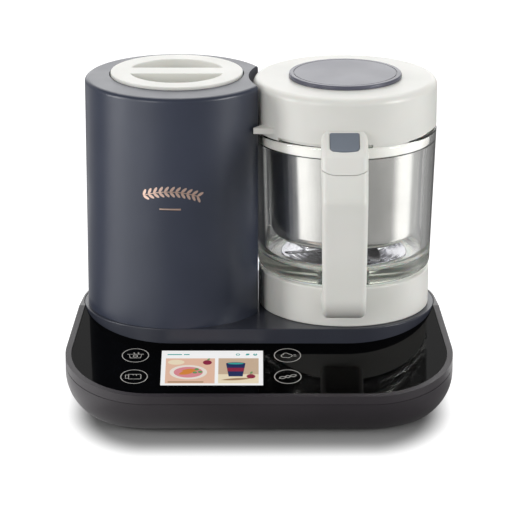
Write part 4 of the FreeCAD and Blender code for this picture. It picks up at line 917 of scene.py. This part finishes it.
# Painted reflections: stretches of bright and dark floor round the jug's axis, seen by every ray
# but the camera's.
PAINTED_REFLECTION_STOPS = [(-180, 0.9), (-172, 0.9), (-168, 0.12), (-150, 0.12), (-140, 0.5), (-106, 0.1),
               (-96, 0.1), (-88, 1.0), (-60, 0.95), (-45, 0.7), (-25, 0.3), (25, 0.25),
               (45, 0.22), (72, 0.25), (84, 1.0), (108, 1.0), (116, 0.3), (150, 0.12),
               (168, 0.12), (172, 0.9), (180, 0.9)]
ROOM_STOPS = [(-180, 1.0), (-163, 1.0), (-148, 0.25), (-105, 0.15), (-60, 0.2), (60, 0.2),
              (105, 0.15), (148, 0.25), (163, 1.0), (180, 1.0)]
print("stops:", len(PAINTED_REFLECTION_STOPS), "on the floor,", len(ROOM_STOPS), "in the room")


# %% Which rays see what
def mirror_rays(tree, seen):
    """1 for a ray that came by mirrors and glass only, 0 for one that a dull surface scattered."""
    either = add(tree, "ShaderNodeMath", {"operation": "MAXIMUM"},
                 {0: seen.outputs["Is Glossy Ray"], 1: seen.outputs["Is Transmission Ray"]})
    unscattered = add(tree, "ShaderNodeMath", {"operation": "LESS_THAN", 1: 0.5},
                      {0: seen.outputs["Diffuse Depth"]})
    both = add(tree, "ShaderNodeMath", {"operation": "MULTIPLY"},
               {0: either.outputs[0], 1: unscattered.outputs[0]})
    return both.outputs[0]


FAR = 4.0                                # in reaches: past this the distance isn't measured
FADE_FROM, FADE_TO = 0.62, 1.05          # in reaches


# Mask for the floor's painted shadow, and for its painted shade near the machine in mirrors.
def outside(tree, where, spans, most):
    """0 under the appliance, rising to a strength outside it; spans are (axis, half, reach)."""
    parts = add(tree, "ShaderNodeSeparateXYZ", links={"Vector": where})
    sides = add(tree, "ShaderNodeCombineXYZ")
    for axis, half, reach in spans:
        size = add(tree, "ShaderNodeMath", {"operation": "ABSOLUTE"}, {0: parts.outputs[axis]})
        past = add(tree, "ShaderNodeMapRange",
                   {"From Min": half, "From Max": half + reach * FAR, "To Max": FAR},
                   {"Value": size.outputs[0]})
        tree.links.new(past.outputs[0], sides.inputs[axis])
    far = add(tree, "ShaderNodeVectorMath", {"operation": "LENGTH"}, {0: sides.outputs[0]})
    rise = add(tree, "ShaderNodeMapRange",
               {"interpolation_type": "SMOOTHSTEP", "From Min": FADE_FROM, "From Max": FADE_TO,
                "To Max": most}, {"Value": far.outputs["Value"]})
    return rise.outputs[0]


# %% Floor, with a painted shadow and painted reflections
# The camera's floor glow is held back inside these spans: a painted shadow round the machine, on
# top of its real shadow.
PAINTED_SHADOW_SPANS = (("X", 0.08, 0.062), ("Y", 0.045, 0.1))   # it ends 5 mm aside, 45 mm in front
# Mirrors and glass see the floor darker near the machine: painted shade, which darkens the low
# reflections.
PAINTED_SHADE_SPANS_NEAR = (("X", 0.08, 0.07), ("Y", 0.05, 0.26))      # floor that low parts mirror
PAINTED_SHADE_LEVEL_NEAR = 0.6                         # its brightness in mirrors, of what the far floor has
SEEN_GREY, GLOW_OUTSIDE_PAINTED_SHADOW = "#A2A2A2", 2.5    # dark enough to hold the shadow; the glow makes it white
# Mirror and glass rays also see the floor glow, which brightens the painted reflections.
PAINTED_REFLECTION_GLOW = 0.5
FLOOR_REACH = 12.0


def build_floor():
    material, tree, shader = start_material("studio_floor", "#F7F7F7", 0.9)
    shader.inputs["Specular IOR Level"].default_value = 0.0
    where = add(tree, "ShaderNodeTexCoord").outputs["Object"]
    seen = add(tree, "ShaderNodeLightPath")
    # For rays other than the camera's, the floor's colour is a painted pattern round the jug's
    # axis.
    painted_dial_round_jug = azimuth_ramp(tree, where, axis_point("glass_jug"), PAINTED_REFLECTION_STOPS)
    # Painted shade: the pattern is dimmed near the machine.
    level = add(tree, "ShaderNodeMath", {"operation": "ADD", 1: PAINTED_SHADE_LEVEL_NEAR},
                {0: outside(tree, where, PAINTED_SHADE_SPANS_NEAR, 1 - PAINTED_SHADE_LEVEL_NEAR)})
    dial = add(tree, "ShaderNodeVectorMath", {"operation": "SCALE"},
               {0: painted_dial_round_jug, "Scale": level.outputs[0]})
    colour = add(tree, "ShaderNodeMixRGB", {"Color2": linear(SEEN_GREY)},
                 {"Fac": seen.outputs["Is Camera Ray"], "Color1": dial.outputs[0]})
    tree.links.new(colour.outputs[0], shader.inputs["Base Color"])
    tree.links.new(colour.outputs[0], shader.inputs["Emission Color"])
    # Glow for mirror and glass rays only: painted reflection brightness.
    mirror_ray_glow_paint = add(tree, "ShaderNodeMath", {"operation": "MULTIPLY", 1: PAINTED_REFLECTION_GLOW},
                 {0: mirror_rays(tree, seen)})
    # Camera rays see a glow held back near the machine: a painted shadow there on top of the real
    # one, white floor further out. Mirror rays add their own glow.
    glow = add(tree, "ShaderNodeMath", {"operation": "MULTIPLY_ADD"},
               {0: seen.outputs["Is Camera Ray"],
                1: outside(tree, where, PAINTED_SHADOW_SPANS, GLOW_OUTSIDE_PAINTED_SHADOW), 2: mirror_ray_glow_paint.outputs[0]})
    tree.links.new(glow.outputs[0], shader.inputs["Emission Strength"])
    mesh = bpy.data.meshes.new("studio_floor")
    square = box_outline(-FLOOR_REACH, -FLOOR_REACH, FLOOR_REACH, FLOOR_REACH)
    mesh.from_pydata([(x, y, 0) for x, y in square], [], [(0, 1, 2, 3)])
    mesh.materials.append(material)
    floor = bpy.data.objects.new("studio_floor", mesh)
    bpy.context.collection.objects.link(floor)


build_floor()


# %% World: white where it is seen, a bright room behind in mirrors, dim as a light
def build_world():
    world = bpy.data.worlds.new("studio")
    bpy.context.scene.world = world
    world.use_nodes = True
    tree = world.node_tree
    tree.nodes.clear()
    seen = add(tree, "ShaderNodeLightPath")
    way = add(tree, "ShaderNodeTexCoord").outputs["Generated"]
    height = add(tree, "ShaderNodeSeparateXYZ", links={"Vector": way}).outputs["Z"]
    level = add(tree, "ShaderNodeMapRange",
                {"From Min": 0.42, "From Max": 0.58, "To Min": 2.0, "To Max": 0.9},
                {"Value": height})
    room = add(tree, "ShaderNodeVectorMath", {"operation": "SCALE"},
               {0: azimuth_ramp(tree, way, (0, 0, 0), ROOM_STOPS), "Scale": level.outputs[0]})
    ceiling = add(tree, "ShaderNodeMapRange",
                  {"From Min": 0.1, "From Max": 0.9, "To Min": 0.1, "To Max": 0.75},
                  {"Value": height})
    lit = add(tree, "ShaderNodeMixRGB",
              links={"Fac": mirror_rays(tree, seen), "Color1": ceiling.outputs[0],
                     "Color2": room.outputs[0]})
    white = add(tree, "ShaderNodeMixRGB", {"Color2": (1, 1, 1, 1)},
                {"Fac": seen.outputs["Is Camera Ray"], "Color1": lit.outputs[0]})
    sky = add(tree, "ShaderNodeBackground", links={"Color": white.outputs[0]})
    add(tree, "ShaderNodeOutputWorld", links={"Surface": sky.outputs[0]})


build_world()


# %% Soft lamps
def lamp(name, place, aim, size, power):
    light = bpy.data.lights.new(name, "AREA")
    light.shape = "RECTANGLE"
    light.size, light.size_y = size
    light.energy = power
    holder = bpy.data.objects.new(name, light)
    holder.location = place
    holder.rotation_euler = (Vector(aim) - Vector(place)).to_track_quat("-Z", "Y").to_euler()
    bpy.context.collection.objects.link(holder)
    print(name, power, "W")
    return holder


lamp("back_softbox", (0.0, 0.78, 1.33), (0, 0, 0.1), (1.4, 0.55), 6)
side = lamp("side_softbox", (-1.75, -0.45, 0.42), (0, 0, 0.14), (0.42, 0.84), 13)
lamp("key_softbox", (-1.1, -1.5, 0.5), (0.06, 0, 0.14), (0.7, 0.7), 9)
fill = lamp("fill_softbox", (1.65, -0.75, 0.42), (0, 0, 0.14), (0.7, 0.7), 18)


# %% A flag keeps two lamps off the flat glass, which would mirror them white from the sides
def flag_off(light, pieces):
    shaded = bpy.data.collections.new("shaded_from_" + light.name)
    for piece in pieces:
        shaded.objects.link(piece)
    light.light_linking.receiver_collection = shaded
    for entry in shaded.collection_objects:
        entry.light_linking.link_state = "EXCLUDE"


for light in (side, fill):
    flag_off(light, (NODES["control_panel"], NODES["display_module"], screen_picture))

# %% Camera: a long lens a little over two metres away, tipped down about eighteen degrees
camera = bpy.data.cameras.new("camera")
camera.lens = 216.9
camera_holder = bpy.data.objects.new("camera", camera)
camera_holder.location = (-0.0023, -2.1516, 0.7996)
camera_holder.rotation_euler = (math.radians(72.07), 0, 0)
bpy.context.collection.objects.link(camera_holder)
bpy.context.scene.camera = camera_holder
bpy.context.scene.view_settings.view_transform = "Standard"
print("camera distance:", round(camera_holder.location.length, 3))
